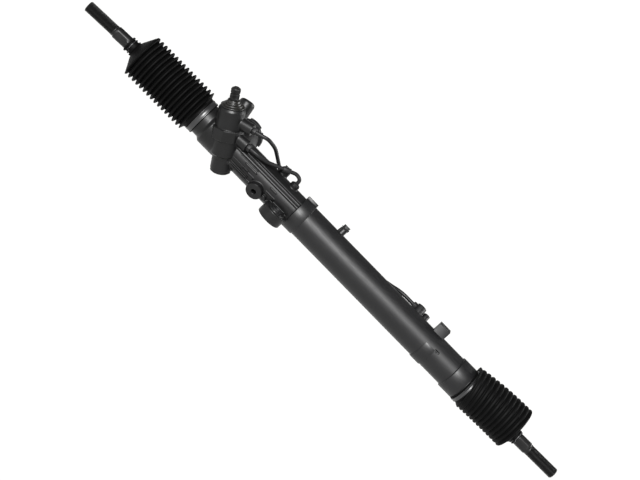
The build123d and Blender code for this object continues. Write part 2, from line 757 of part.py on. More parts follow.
save(cylinder_tube, "cylinder_tube")

with BuildPart() as tube_collar:
    with BuildSketch(across(housing_end)):
        Circle(tube_radius + nest + collar_wall)
        for angle in (62, 84):
            with PolarLocations(tube_radius + collar_wall, 1, start_angle=angle):
                Rectangle(7, 6)
        Circle(tube_radius + nest, mode=Mode.SUBTRACT)
    extrude(amount=collar_length)
save(tube_collar, "tube_collar")

save(turned([(sleeve_start, tube_radius + nest), (sleeve_start + 1.5, tube_radius + sleeve_wall),
             (sleeve_end, tube_radius + sleeve_wall), (sleeve_end, tube_radius + nest)]), "tube_end_sleeve")

inner_seal_lip = inner_seal_start + backing_thickness
save(ring(inner_seal_start, inner_seal_lip - nest, inner_seal_bore - nest, rack_radius + 0.6),
     "inner_seal_backing")
save(ring(inner_seal_lip, inner_seal_end, inner_seal_bore - nest, rack_radius + running),
     "inner_rack_seal")
save(ring(neck_start, neck_start + 20, rack_room + 2.5 - nest, rack_radius + running), "left_rack_bush")

stopper_start = 112.0
stopper_end = 162.0
end_stopper = turned([(stopper_start, 17.5), (stopper_start, tube_bore - nest),
                      (window_x - 1.3, tube_bore - nest), (window_x - 1.3, tube_bore - 1.3),
                      (window_x + 1.3, tube_bore - 1.3), (window_x + 1.3, tube_bore - nest),
                      (stopper_end, tube_bore - nest), (stopper_end, 15.5), (stopper_start + 8, 15.5),
                      (stopper_start + 8, 17.5)])
save(end_stopper, "end_stopper")
save(ring(stopper_start, stopper_start + 7.5, 17.5 - nest, rack_radius + running), "outer_rack_seal")
save(ring(stopper_start + 12, stopper_end - 4, 15.5 - nest, rack_radius + running), "right_rack_bush")
with BuildPart() as stopper_wire:
    with BuildSketch(rack_section):
        with Locations((window_x, tube_bore)):
            Circle(1.2)
    revolve(axis=Axis.X)
save(stopper_wire, "stopper_wire")
save(ring(tube_end - 8, tube_end, tube_bore - nest, rack_room), "rack_stop_ring")

# ---------------------------------------------------------------- mounting bush
with BuildPart() as mounting_bush:
    with BuildSketch(Plane.XY.offset(boss_foot - 1.0)):
        with Locations((boss_x, boss_y)):
            Circle(bush_bore - nest)
            Circle(9.0 + nest, mode=Mode.SUBTRACT)
    extrude(amount=boss_step - 3 - boss_foot + 1.0)
save(mounting_bush, "mounting_bush")
bolt_hole_radius = 6.1
with BuildPart() as mounting_sleeve:
    with BuildSketch(Plane.XY.offset(boss_foot - 2.0)):
        with Locations((boss_x, boss_y)):
            Circle(9.0)
            Circle(bolt_hole_radius, mode=Mode.SUBTRACT)
    extrude(amount=boss_top + 1.0 - boss_foot + 2.0)
save(mounting_sleeve, "mounting_sleeve")

# ---------------------------------------------------------------- tie rods
collar_near = 28.0      # from the ball's centre to the groove that holds the bellows


def ball_housing(ball, face_x, side):
    """The socket that screws onto the rack's end: round, with two spanner flats."""
    with BuildPart() as housing:
        with BuildSketch(across(face_x)):
            Circle(ball_housing_radius)
        extrude(amount=side * (ball_depth + ball_mouth))
        chamfer(housing.edges().filter_by(GeomType.CIRCLE), 1.5)
        for flat in (1, -1):
            with BuildSketch(Plane.XY.offset(flat * (ball_housing_radius - 2.2))):
                with Locations((face_x + side * 9, 0)):
                    Rectangle(12, 3 * ball_housing_radius)
            extrude(amount=flat * 5, mode=Mode.SUBTRACT)
        with Locations(Plane(origin=ball)):
            Sphere(ball_radius + 1.6, mode=Mode.SUBTRACT)
        mouth = ball_radius * 0.80
        with BuildSketch(rack_section):
            with BuildLine():
                Polyline((ball.X, 0), (ball.X, mouth), (ball.X + side * 14, mouth + 8.0),
                         (ball.X + side * 14, 0), close=True)
            make_face()
        revolve(axis=Axis.X, mode=Mode.SUBTRACT)
    return housing


def ball_seat(ball, side):
    """The plastic cup between the ball and its housing, open toward the mouth."""
    with BuildPart() as seat:
        with Locations(Plane(origin=ball)):
            Sphere(ball_radius + 1.6 - nest)
            Sphere(ball_radius + running, mode=Mode.SUBTRACT)
        with BuildSketch(across(ball.X + side * 4.5)):
            Circle(2 * ball_radius)
        extrude(amount=side * 2 * ball_radius, mode=Mode.SUBTRACT)
    return seat


def tie_rod(ball, way, section, tip_x):
    """A tie rod: ball, neck, shank with a groove for the bellows, and a threaded end."""
    length = abs((tip_x - ball.X) / way.X)
    thread_start = length - thread_length
    with BuildPart() as rod:
        with Locations(Plane(origin=ball)):
            Sphere(ball_radius)
        with BuildSketch(section):
            with BuildLine():
                Polyline((0, 0), (0, 6.0), (14, 6.0), (18, 8.0), (collar_near - 2, 9.0),
                         (collar_near, 9.0), (collar_near, 8.2), (collar_near + 12, 8.2),
                         (collar_near + 12, rod_radius), (thread_start - 3, rod_radius),
                         (thread_start, thread_radius), (length - 1.5, thread_radius),
                         (length, thread_radius - 1.5), (length, 0), close=True)
            make_face()
        revolve(axis=Axis(ball, way))
        # spanner flats beside the thread
        for flat in (1, -1):
            with BuildSketch(Plane(origin=ball + way * (thread_start - 14), x_dir=way, z_dir=(0, flat, 0))
                             .offset(rod_radius - 1.4)):
                Rectangle(16, 3 * rod_radius)
            extrude(amount=4, mode=Mode.SUBTRACT)
    return rod


save(ball_housing(left_ball, left_ball_face, -1), "left_ball_housing")
save(ball_housing(right_ball, right_ball_face, 1), "right_ball_housing")
save(ball_seat(left_ball, -1), "left_ball_seat")
save(ball_seat(right_ball, 1), "right_ball_seat")
save(tie_rod(left_ball, left_way, left_rod_section, left_rod_tip), "left_tie_rod")
save(tie_rod(right_ball, right_way, right_rod_section, right_rod_tip), "right_tie_rod")


def lock_washer(face_x, side):
    """The tabbed washer between the rack's end and the ball housing."""
    with BuildPart() as washer:
        with BuildSketch(across(face_x)):
            Circle(ball_housing_radius - 2.0)
            Circle(rack_radius + nest, mode=Mode.SUBTRACT)
        extrude(amount=-side * washer_thickness)
    return washer


save(lock_washer(left_ball_face, -1), "left_lock_washer")
save(lock_washer(right_ball_face, 1), "right_lock_washer")

# ---------------------------------------------------------------- bellows and their clamps
left_cuff_radius = neck_radius + nest + bellows_wall
right_cuff_radius = tube_radius + nest + bellows_wall
left_collar = (27.5, 30.0, 39.7)    # where the left bellows' cone ends and its collar runs, from the ball
right_collar = (34.0, 35.2, 39.7)
collar_radius = 8.2 + soft_gap + bellows_wall
clamp_wall = 1.4
left_clamp = (-344.7, -337.2)
right_clamp = (225.0, 230.4)
left_folds = 16
right_folds = 13
left_crests = (-352.6, -466.4)      # first and last crest
right_crests = (231.0, 323.5)
right_lift = 8.5                    # the slack right bellows bulges up by this much
right_tilt = 14.0                   # and its first fold leans back over the clamp
right_crest = tube_radius + 8.5     # radius of its first crest


def fold_plane(x, z=0.0, tilt=0.0):
    """The plane of one fold: square to the rack, then tipped back by a tilt in degrees."""
    way = Vector(math.cos(math.radians(tilt)), 0, math.sin(math.radians(tilt)))
    return Plane(origin=(x, 0, z), x_dir=(0, 1, 0), z_dir=way)


def rod_plane(ball, way, distance):
    """The plane square to a tie rod at a distance from its ball's centre."""
    return Plane(origin=ball + way * distance, x_dir=(0, 1, 0), z_dir=way * math.copysign(1, way.X))


def left_fold(share):
    """A fold of the stretched left bellows, from the neck (0) to its cone (1)."""
    x = left_crests[0] + share * (left_crests[1] - left_crests[0])
    sink = share * (left_crests[1] - left_ball.X) * math.tan(math.radians(left_droop))
    return fold_plane(x, sink), crest_radius, fold_depth


def right_fold(share):
    """A fold of the squeezed right bellows, from the clamp (0) to its end wall (1)."""
    x = right_crests[0] + share * (right_crests[1] - right_crests[0])
    swell = 1 - (1 - share) ** 2
    z = 2.5 + (right_lift - 2.5) * swell
    depth = fold_depth * (0.45 + 0.55 * min(1, 4 * share))
    return fold_plane(x, z, right_tilt * (1 - share) ** 1.3), right_crest + 2.5 * swell, depth


def folded(fold, count):
    """The circles of a row of folds: a crest at each, and a root half way to the next."""
    circles = []
    for step in range(2 * count - 1):
        plane, crest, depth = fold(step / (2 * count - 2))
        circles.append((plane, crest - depth * (step % 2)))
    return circles


def thinned(circles):
    """The same circles, one wall thickness further in."""
    return [(plane, radius - bellows_wall) for plane, radius in circles]


def bellows(outside, inside):
    """A rubber bellows: straight walls from one (plane, radius) circle to the next."""
    with BuildPart() as boot:
        for circles, mode in ((outside, Mode.ADD), (inside, Mode.SUBTRACT)):
            for plane, radius in circles:
                with BuildSketch(plane):
                    Circle(radius)
            loft(ruled=True, mode=mode)
    return boot


left_outside = [(fold_plane(left_clamp[1] + 1.0), left_cuff_radius),
                (fold_plane(neck_start + 1.6), left_cuff_radius)]
left_outside += folded(left_fold, left_folds)
left_outside += [(rod_plane(left_ball, left_way, left_collar[0]), 14.5),
                 (rod_plane(left_ball, left_way, left_collar[1]), collar_radius),
                 (rod_plane(left_ball, left_way, left_collar[2]), collar_radius)]
save(bellows(left_outside, thinned(left_outside)), "left_bellows")

right_rows = folded(right_fold, right_folds)
right_outside = [(fold_plane(right_clamp[0] - 2.5), right_cuff_radius),
                 (fold_plane(right_clamp[1] + 2.4), right_cuff_radius)]
right_outside += right_rows
right_outside += [(fold_plane(328.0, 5.5), 24.0),
                  (rod_plane(right_ball, right_way, right_collar[0]), collar_radius + 2.9),
                  (rod_plane(right_ball, right_way, right_collar[1]), collar_radius),
                  (rod_plane(right_ball, right_way, right_collar[2]), collar_radius)]
right_inside = [(fold_plane(right_clamp[0] - 2.5), tube_radius + nest),
                (fold_plane(tube_end + 0.2), tube_radius + nest),
                (fold_plane(tube_end + 1.5, 1.5, 4.0), tube_radius + 1.0)]
right_inside += thinned(right_rows[2:-1])
right_inside += [(fold_plane(322.8, right_lift), right_crest + 0.4), (fold_plane(326.8, 5.5), 22.4),
                 (rod_plane(right_ball, right_way, right_collar[0] - 1.2), collar_radius + 1.7),
                 (rod_plane(right_ball, right_way, right_collar[0]), collar_radius - bellows_wall),
                 (rod_plane(right_ball, right_way, right_collar[2]), collar_radius - bellows_wall)]
save(bellows(right_outside, right_inside), "right_bellows")


def big_clamp(start, end, cuff_radius):
    """The steel band round a bellows cuff, with the crimped ear that tightens it at the back."""
    inner = cuff_radius + nest
    with BuildPart() as clamp:
        with BuildSketch(across(start)):
            Circle(inner + clamp_wall)
            with PolarLocations(inner + 2, 1, start_angle=-12):
                Rectangle(5, 9)
            Circle(inner, mode=Mode.SUBTRACT)
        extrude(amount=end - start)
    return clamp


save(big_clamp(*left_clamp, left_cuff_radius), "left_big_clamp")
save(big_clamp(*right_clamp, right_cuff_radius), "right_big_clamp")


def small_clip(ball, way, start, width):
    """The spring clip round the bellows' small end."""
    with BuildPart() as clip:
        with BuildSketch(rod_plane(ball, way, start)):
            Circle(collar_radius + nest + 1.2)
            Circle(collar_radius + nest, mode=Mode.SUBTRACT)
        extrude(amount=width * math.copysign(1, way.X))
    return clip


save(small_clip(left_ball, left_way, 33.0, 5.0), "left_small_clip")
save(small_clip(right_ball, right_way, 35.6, 3.4), "right_small_clip")

# ---------------------------------------------------------------- hydraulic lines
nut_across = 10.0
line_wall = 0.9
back_line_y = tube_radius + 3.1
back_line_z = 13.8
far_line_y = far_port_way.Y * far_line_height
far_line_z = far_port_way.Z * far_line_height
near_route = [port_plane("lower", port_boss_reach - 6).origin,
              port_plane("lower", port_boss_reach + 20).origin,
              Vector(-226, -22, 27.5), Vector(near_port_x - 9.5, -4, 43.2),
              radial(near_port_x, near_port_way, 40.5).origin,
              radial(near_port_x, near_port_way, near_seat_height - 4).origin]
far_route = [port_plane("upper", port_boss_reach - 6).origin,
             port_plane("upper", port_boss_reach + 13).origin,
             Vector(-247, -29, 55.5), Vector(-231, -14, 50.0), Vector(-214, 14, 32),
             Vector(-199, 27.5, 18.5), Vector(-178, back_line_y, back_line_z),
             Vector(14, back_line_y, back_line_z),
             Vector(38, tube_radius + 1.3, 18.4), Vector(58, far_line_y, far_line_z),
             Vector(far_face_x + 3, far_line_y, far_line_z)]


def bend_radii(route):
    """The largest radius that each corner's two runs leave room for, up to 60 mm."""
    radii = []
    for before, corner, after in zip(route, route[1:], route[2:]):
        turn = math.radians((corner - before).get_angle(after - corner))
        shorter = min((corner - before).length, (after - corner).length)
        radii.append(min(60.0, 0.45 * shorter / math.tan(turn / 2)))
    return radii


def hydraulic_line(route):
    """A bent steel line: straight runs joined by tangent arcs, hollow all the way."""
    with BuildPart() as line:
        with BuildLine() as path:
            FilletPolyline(*route, radius=bend_radii(route))
        with BuildSketch(Plane(origin=route[0], z_dir=route[1] - route[0])):
            Circle(line_radius)
            Circle(line_radius - line_wall, mode=Mode.SUBTRACT)
        sweep(path=path.line)
    return line


save(hydraulic_line(near_route), "near_line")
save(hydraulic_line(far_route), "far_line")

far_face = Plane(origin=(far_face_x, far_line_y, far_line_z), x_dir=across_x.cross(far_port_way),
                 z_dir=(-1, 0, 0))
nut_length = line_nut_length - line_nut_seat
with BuildPart() as line_nuts:
    for seat in (port_plane("lower", port_boss_reach), port_plane("upper", port_boss_reach), far_face):
        with BuildSketch(seat):
            RegularPolygon(radius=nut_across / 2, side_count=6, major_radius=False)
            Circle(line_radius + nest, mode=Mode.SUBTRACT)
        extrude(amount=nut_length)
    with BuildSketch(radial(near_port_x, near_port_way, near_seat_height)):
        RegularPolygon(radius=near_nut_radius, side_count=6)
        Circle(line_radius + nest, mode=Mode.SUBTRACT)
    extrude(amount=4.5)
save(line_nuts, "line_nuts")

# clamp that holds the near line on the housing
clamp_run = (near_route[3] - near_route[2]).normalized()
clamp_share = (clip_boss_x - near_route[2].X) / (near_route[3].X - near_route[2].X)
clamp_centre = near_route[2] + (near_route[3] - near_route[2]) * clamp_share
clamp_side = clamp_centre.Y * clip_boss_way.Z - clamp_centre.Z * clip_boss_way.Y
strap_wall = 1.5
with BuildPart() as line_clamp:
    with BuildSketch(Plane(origin=clamp_centre - clamp_run * 6, z_dir=clamp_run)):
        Circle(line_radius + nest + strap_wall)
    extrude(amount=12)
    with BuildSketch(radial(clip_boss_x, clip_boss_way, clip_boss_height)):
        with Locations((0, clamp_side / 2 + 3)):
            RectangleRounded(16, 8 - clamp_side, 3.5)
    extrude(amount=strap_wall)
    with BuildSketch(Plane(origin=clamp_centre - clamp_run * 20, z_dir=clamp_run)):
        Circle(line_radius + nest)
    extrude(amount=40, mode=Mode.SUBTRACT)
    with BuildSketch(radial(clip_boss_x, clip_boss_way, clip_boss_height)):
        Circle(clip_bolt_radius + nest)
    extrude(amount=3, mode=Mode.SUBTRACT)
save(line_clamp, "line_clamp")

# clip that holds the far line against the tube
strap_inner = math.hypot(clip_height, clip_boss_size) + nest
with BuildPart() as tube_clip:
    with BuildSketch(across(clip_x - 6)):
        with BuildLine():
            reach = 2 * tube_radius
            high = math.radians(86)
            low = math.radians(25)
            Polyline((0, 0), (reach * math.cos(high), reach * math.sin(high)),
                     (reach, reach * math.sin(high)), (reach * math.cos(low), reach * math.sin(low)),
                     close=True)
        make_face()
        Circle(strap_inner + strap_wall, mode=Mode.INTERSECT)
        Circle(strap_inner, mode=Mode.SUBTRACT)
        with Locations((back_line_y, back_line_z)):
            Circle(line_radius + nest + strap_wall)
            Circle(line_radius + nest, mode=Mode.SUBTRACT)
    extrude(amount=12)
    with BuildSketch(radial(clip_x, clip_way, clip_height - 3)):
        Circle(clip_bolt_radius + nest)
    extrude(amount=8, mode=Mode.SUBTRACT)
save(tube_clip, "tube_clip")

with BuildPart() as clip_bolts:
    for x, way, seat in ((clip_boss_x, clip_boss_way, clip_boss_height + strap_wall),
                         (clip_x, clip_way, strap_inner + strap_wall)):
        with BuildSketch(radial(x, way, seat)):
            Circle(7.0)
        extrude(amount=1.2)
        with BuildSketch(radial(x, way, seat)):
            RegularPolygon(radius=5.6, side_count=6)
        extrude(amount=5.0)
        with BuildSketch(radial(x, way, seat)):
            Circle(clip_bolt_radius)
        extrude(amount=-7.0)
save(clip_bolts, "clip_bolts")
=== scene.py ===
# %% [markdown]
# # A power-assisted steering rack, dressed in cells
# A steering rack turns the steering shaft's rotation into a sideways push on the front wheels. The
# imported CAD model gives every piece its size and place, and tells which body each one moves with.
# This lesson adds what CAD leaves out: cast skin, moulded rubber folds, threads, splines and finishes.
# We start by loading that model as a fixed frame.

# %% Load the frame
import json
import math
import bpy
import numpy as np
from mathutils import Matrix


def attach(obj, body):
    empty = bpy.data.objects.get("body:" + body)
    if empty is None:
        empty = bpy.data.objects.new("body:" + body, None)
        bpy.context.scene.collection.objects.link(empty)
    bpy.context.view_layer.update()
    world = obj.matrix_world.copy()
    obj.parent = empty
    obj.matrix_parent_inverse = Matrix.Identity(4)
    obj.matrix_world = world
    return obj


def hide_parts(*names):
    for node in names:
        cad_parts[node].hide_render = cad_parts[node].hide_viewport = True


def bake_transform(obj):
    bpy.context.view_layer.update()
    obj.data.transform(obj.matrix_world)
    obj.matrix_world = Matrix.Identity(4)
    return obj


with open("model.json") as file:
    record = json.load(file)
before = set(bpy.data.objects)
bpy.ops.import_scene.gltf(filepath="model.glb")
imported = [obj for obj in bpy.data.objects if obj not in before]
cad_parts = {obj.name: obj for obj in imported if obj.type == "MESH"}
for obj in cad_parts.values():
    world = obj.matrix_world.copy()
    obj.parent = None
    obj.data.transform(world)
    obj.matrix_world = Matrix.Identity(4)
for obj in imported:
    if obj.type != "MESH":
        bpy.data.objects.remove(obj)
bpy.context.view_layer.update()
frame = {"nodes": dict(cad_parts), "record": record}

# %% [markdown]
# Everything is drawn in millimetres and scaled to metres in one place. Colours are chosen as sRGB hex
# values, which is how a paint chart gives them, and one function turns them into the linear values
# that shaders need. One more function adds a shader node with its settings and its links, which
# keeps the material cells short enough to read.

# %% Small helpers for sizes, colours and nodes
MM = 0.001


def linear(hex_colour):
    """sRGB hex to linear RGBA: each channel c becomes ((c + 0.055) / 1.055) to the power 2.4."""
    channels = [int(hex_colour[i:i + 2], 16) / 255 for i in (1, 3, 5)]
    return [c / 12.92 if c <= 0.04045 else ((c + 0.055) / 1.055) ** 2.4 for c in channels] + [1.0]


def add_node(tree, kind, settings=None, links=None):
    """Adds one node; a setting goes to the socket of that name, or else to the node itself."""
    new = tree.nodes.new(kind)
    for key, value in (settings or {}).items():
        if isinstance(key, int) or key in new.inputs:
            new.inputs[key].default_value = value
        else:
            setattr(new, key, value)
    for key, source in (links or {}).items():
        tree.links.new(source, new.inputs[key])
    return new


print("grey paint in linear light:", [round(c, 4) for c in linear("#2b2b2d")])

# %% [markdown]
# A finish is a Principled shader whose roughness, colour and bump vary a little over the surface,
# because no real surface is even. The function below makes that common base: object coordinates
# stretched by a Mapping node, one noise for broad patches, and one for the fine grain of how the
# surface was made. Each material then only states its own sizes. A pattern's scale is one over the
# size of its grain in metres, because object coordinates are in metres.

# %% The common base of a finish


def finish(name, colour, roughness, metallic=0.0, reflection=0.36, grain_mm=1.0, grain_depth_mm=0.02,
           stretch=(1, 1, 1), patch_mm=30.0, patch_colour=None, patch_share=0.35, rough_swing=0.06):
    """A Principled material with broad patches in colour, and a fine grain in gloss and as bump."""
    material = bpy.data.materials.new(name)
    material.use_nodes = True
    tree = material.node_tree
    tree.nodes.clear()
    place = add_node(tree, "ShaderNodeTexCoord")
    drawn = add_node(tree, "ShaderNodeMapping", {"Scale": stretch}, {"Vector": place.outputs["Object"]})
    patches = add_node(tree, "ShaderNodeTexNoise",
                       {"Scale": 1000 / patch_mm, "Detail": 5.0, "Roughness": 0.6},
                       {"Vector": place.outputs["Object"]})
    grain = add_node(tree, "ShaderNodeTexNoise", {"Scale": 1000 / grain_mm, "Detail": 3.0},
                     {"Vector": drawn.outputs["Vector"]})
    tint = add_node(tree, "ShaderNodeValToRGB", links={"Fac": patches.outputs["Fac"]})
    tint.color_ramp.elements[0].position = 0.5 - patch_share / 2
    tint.color_ramp.elements[0].color = linear(colour)
    tint.color_ramp.elements[1].position = 0.5 + patch_share
    tint.color_ramp.elements[1].color = linear(patch_colour or colour)
    gloss = add_node(tree, "ShaderNodeMapRange", {"From Min": 0.3, "From Max": 0.7,
                     "To Min": roughness - rough_swing, "To Max": roughness + rough_swing},
                     {"Value": grain.outputs["Fac"]})
    relief = add_node(tree, "ShaderNodeBump", {"Strength": 0.6, "Distance": grain_depth_mm * MM},
                      {"Height": grain.outputs["Fac"]})
    shader = add_node(tree, "ShaderNodeBsdfPrincipled",
                      {"Metallic": metallic, "Specular IOR Level": reflection},
                      {"Base Color": tint.outputs["Color"], "Roughness": gloss.outputs["Result"],
                       "Normal": relief.outputs["Normal"]})
    add_node(tree, "ShaderNodeOutputMaterial", links={"Surface": shader.outputs["BSDF"]})
    return material


# %% [markdown]
# The housing is die-cast aluminium under a thin satin enamel. A casting's skin is slightly pebbled, in
# grains of about a millimetre, and the enamel softens that into an orange peel that spreads the
# highlights. The tube is drawn steel with the same enamel, so its grain runs lengthwise and is
# finer. Enamel is a plastic film, so neither of them is metallic.

# %% Paint on cast and on drawn metal
cast_enamel = finish("satin_enamel_on_cast_aluminium", "#090909", 0.4, reflection=0.26, grain_mm=1.3,
                     grain_depth_mm=0.09, patch_colour="#101011", patch_mm=26.0)
tube_enamel = finish("satin_enamel_on_drawn_tube", "#0a0a0b", 0.44, reflection=0.34, grain_mm=1.6,
                     grain_depth_mm=0.03, stretch=(0.12, 1, 1), patch_colour="#0f0f10", patch_mm=40.0)
print("paints:", cast_enamel.name, tube_enamel.name)

# %% [markdown]
# The bellows are moulded in EPDM or a thermoplastic rubber, and the seals in nitrile. Both are
# near black. A mould leaves a fine matt grain, and a pale bloom gathers on it in patches, which is
# why the patch colour is a little lighter and greyer than the base.

# %% Rubbers
bellows_rubber = finish("moulded_epdm_rubber", "#040404", 0.58, reflection=0.06, grain_mm=0.9,
                        grain_depth_mm=0.02, patch_colour="#080808", patch_mm=22.0)
seal_rubber = finish("moulded_nitrile_rubber", "#070707", 0.62, reflection=0.14, grain_mm=0.8,
                     grain_depth_mm=0.02, patch_colour="#0a0a0a", patch_mm=9.0)
cover_rubber = finish("glossy_cover_rubber", "#0c0b09", 0.36, reflection=0.5, grain_mm=0.8,
                      grain_depth_mm=0.01, patch_colour="#11100d", patch_mm=9.0)
print("rubbers:", bellows_rubber.name, seal_rubber.name, cover_rubber.name)

# %% [markdown]
# A rebuilt rack is sprayed with its clamps, clips and line nuts in place, so these wear a thin dull
# coat of the same black over their zinc. The tie rods are forged, turned, heated and dipped in oil,
# which leaves a dark grey oxide. Bare metal remains inside: the rack, shafts and bearings are ground,
# and the piston is turned.

# %% Coated and bare metals
band_steel = finish("coated_steel_strip", "#161617", 0.38, reflection=0.65, grain_mm=0.6,
                    grain_depth_mm=0.004, stretch=(1, 0.1, 0.1), patch_colour="#1a1a1b", patch_mm=14.0)
zinc_steel = finish("sprayed_zinc_plated_steel", "#101011", 0.52, metallic=0.1, reflection=0.3,
                    grain_mm=0.7, grain_depth_mm=0.01, patch_colour="#161617", patch_mm=7.0)
line_steel = finish("sprayed_steel_line", "#0e0e0f", 0.48, metallic=0.1, reflection=0.28, grain_mm=0.8,
                    grain_depth_mm=0.008, patch_colour="#131314", patch_mm=12.0)
ground_steel = finish("ground_bearing_steel", "#a5a4a1", 0.24, metallic=1.0, grain_mm=0.5,
                      grain_depth_mm=0.003, stretch=(1, 0.15, 0.15), patch_colour="#8f8d89", patch_mm=18.0)
rod_steel = finish("oiled_forged_steel", "#101010", 0.42, metallic=0.3, reflection=0.36, grain_mm=1.1,
                   grain_depth_mm=0.03, patch_colour="#0b0b0b", patch_mm=9.0)
shaft_steel = finish("oiled_shaft_steel", "#121212", 0.42, metallic=0.3, reflection=0.3, grain_mm=0.7,
                     grain_depth_mm=0.005, patch_colour="#1a1a1a", patch_mm=8.0)
turned_aluminium = finish("turned_aluminium", "#b9bbbd", 0.3, metallic=1.0, grain_mm=0.4,
                          grain_depth_mm=0.006, stretch=(1, 0.1, 0.1), patch_colour="#a8aaac",
                          patch_mm=15.0)
slide_plastic = finish("moulded_acetal_and_ptfe", "#c8bfae", 0.4, grain_mm=1.0, grain_depth_mm=0.005,
                       patch_colour="#b5ab98", patch_mm=12.0)
slot_finish = {"housing_paint": cast_enamel, "tube_paint": tube_enamel, "rubber": bellows_rubber,
               "seal_rubber": seal_rubber, "band_steel": band_steel, "zinc_steel": zinc_steel,
               "line_steel": line_steel, "ground_steel": ground_steel, "forged_steel": rod_steel,
               "piston_aluminium": turned_aluminium, "bearing_plastic": slide_plastic}
print("metals and plastics:", len(slot_finish), "finishes in all")

# %% [markdown]
# The record says which finish slot each CAD node belongs to, so the nodes that stay can take their
# materials in one loop. Most of them are sealed inside, and show only when the rack is cut open.

# %% Give every CAD node its finish
slot_of = {row["node"]: row["material_slot"] for row in frame["record"]["subparts"]}
for node_name, node_object in frame["nodes"].items():
    node_object.data.materials.clear()
    node_object.data.materials.append(slot_finish[slot_of[node_name]])
for node_name in ("end_stopper", "stopper_wire"):
    frame["nodes"][node_name].data.materials[0] = line_steel
print("nodes finished:", len(slot_of))

# %% [markdown]
# New pieces are surfaces: a grid of points with one direction along the piece and one around it. The
# next cell turns such a grid into a closed mesh. It numbers the points row by row, makes one
# four-sided face from each cell of the grid with array arithmetic, and lets the last row or column
# join the first where the surface closes on itself. A last helper reads values back out of a mesh.

# %% Grid to mesh


def surface(name, grid, slot, body=None, closed_rows=False, caps=True, crease_degrees=38.0, flip=False):
    """A mesh from a (rows, columns, 3) grid in millimetres, closed around its columns.

    Face (i, j) joins points (i, j), (i, j+1), (i+1, j+1) and (i+1, j). closed_rows joins the last
    row to the first, as on a ring. Otherwise caps fills both ends with one flat face each."""
    rows, columns, _ = grid.shape
    number = np.arange(rows * columns).reshape(rows, columns)
    lower = number if closed_rows else number[:-1]
    upper = np.roll(number, -1, axis=0) if closed_rows else number[1:]
    faces = np.stack([lower, np.roll(lower, -1, axis=1), np.roll(upper, -1, axis=1), upper], axis=-1)
    faces = faces.reshape(-1, 4)
    if flip:
        faces = faces[:, ::-1]
    polygons = faces.tolist()
    if not closed_rows and caps:
        ends = [number[0][::-1].tolist(), number[-1].tolist()]
        polygons += [end[::-1] for end in ends] if flip else ends
    mesh = bpy.data.meshes.new(name)
    mesh.from_pydata((grid.reshape(-1, 3) * MM).tolist(), [], polygons)
    return finished(name, mesh, slot, body, crease_degrees)


def finished(name, mesh, slot, body=None, crease_degrees=38.0):
    """Gives a mesh smooth shading that breaks at sharp creases, its finish and its body."""
    mesh.validate()
    mesh.polygons.foreach_set("use_smooth", np.ones(len(mesh.polygons), dtype=bool))
    mesh.set_sharp_from_angle(angle=math.radians(crease_degrees))
    mesh.materials.clear()
    mesh.materials.append(slot_finish[slot])
    piece = bpy.data.objects.new(name, mesh)
    bpy.context.collection.objects.link(piece)
    if body:
        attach(piece, body)
    return piece


def unit(vector):
    """The vector divided by its own length."""
    vector = np.asarray(vector, float)
    return vector / np.linalg.norm(vector)


def values(collection, attribute, width=1, kind=float):
    """One attribute of all items of a mesh collection, as an array with width columns."""
    array = np.empty(len(collection) * width, dtype=kind)
    collection.foreach_get(attribute, array)
    return array.reshape(-1, width) if width > 1 else array


print("surface helpers ready")

# %% [markdown]
# Many pieces are turned on a lathe. A lathe surface is a profile, a list of (place along the axis,
# radius) points, carried round the axis: point (i, j) is origin + place i times the axis + radius i
# times (cosine of angle j times side + sine of angle j times up).

# %% Lathe surface
AROUND = 96


def lathe(name, profile, slot, body=None, origin=(0, 0, 0), axis=(1, 0, 0), around=AROUND, ring=False,
          ripple=None, **options):
    """A turned piece. ripple, if given, maps (places, radii, angles) arrays to changed radii."""
    axis = unit(axis)
    side = unit(np.cross(axis, (0, 1, 0) if abs(axis[1]) < 0.9 else (1, 0, 0)))
    up = np.cross(axis, side)
    profile = np.array(profile, float)
    angle = np.arange(around) * 2 * math.pi / around
    place = np.repeat(profile[:, :1], around, axis=1)
    radius = np.repeat(profile[:, 1:], around, axis=1)
    if ripple:
        radius = ripple(place, radius, angle[None, :])
    grid = (np.array(origin, float) + place[..., None] * axis
            + radius[..., None] * (np.cos(angle)[None, :, None] * side + np.sin(angle)[None, :, None] * up))
    return surface(name, grid, slot, body, closed_rows=ring, **options)


def filled(points, step):
    """A profile with extra points, so that no stretch is longer than step."""
    points = np.array(points, float)
    length = np.concatenate([[0], np.cumsum(np.linalg.norm(np.diff(points, axis=0), axis=1))])
    many = np.unique(np.concatenate([length, np.arange(0, length[-1], step)]))
    return np.stack([np.interp(many, length, points[:, k]) for k in (0, 1)], axis=1)


print("lathe helper ready:", AROUND, "points around")

# %% [markdown]
# The sizes below are those of the CAD source, in millimetres, and the directions follow from them in
# the same way: the pinion shaft leans 31.5 degrees along the rack and 12 degrees forward, and the rack
# guide sits square to both the shaft and the rack.

# %% Shared sizes and directions
NECK_START, TUBE_RADIUS = -351.0, 26.5
HOUSING_END = -144.0
PINION_LEAN, PINION_TILT, PINION_DISTANCE = math.radians(31.5), math.radians(12), 14.8
PINION_WAY = unit((-math.tan(PINION_LEAN), -math.tan(PINION_TILT), 1))
MESH_WAY = unit(np.cross((1, 0, 0), PINION_WAY))
PINION_CENTRE = np.array((-285.5, 0, 0)) + MESH_WAY * PINION_DISTANCE
GUIDE_WAY = -MESH_WAY
GUIDE_CENTRE = np.array((-278.0, 0, 0))
LEFT_BALL, RIGHT_BALL = np.array((-451.5, 0, 0)), np.array((298.5, 0, 0))
LEFT_DROOP, RIGHT_RISE = math.radians(2.8), math.radians(1.0)
LEFT_WAY = np.array((-math.cos(LEFT_DROOP), 0, -math.sin(LEFT_DROOP)))
RIGHT_WAY = np.array((math.cos(RIGHT_RISE), 0, math.sin(RIGHT_RISE)))
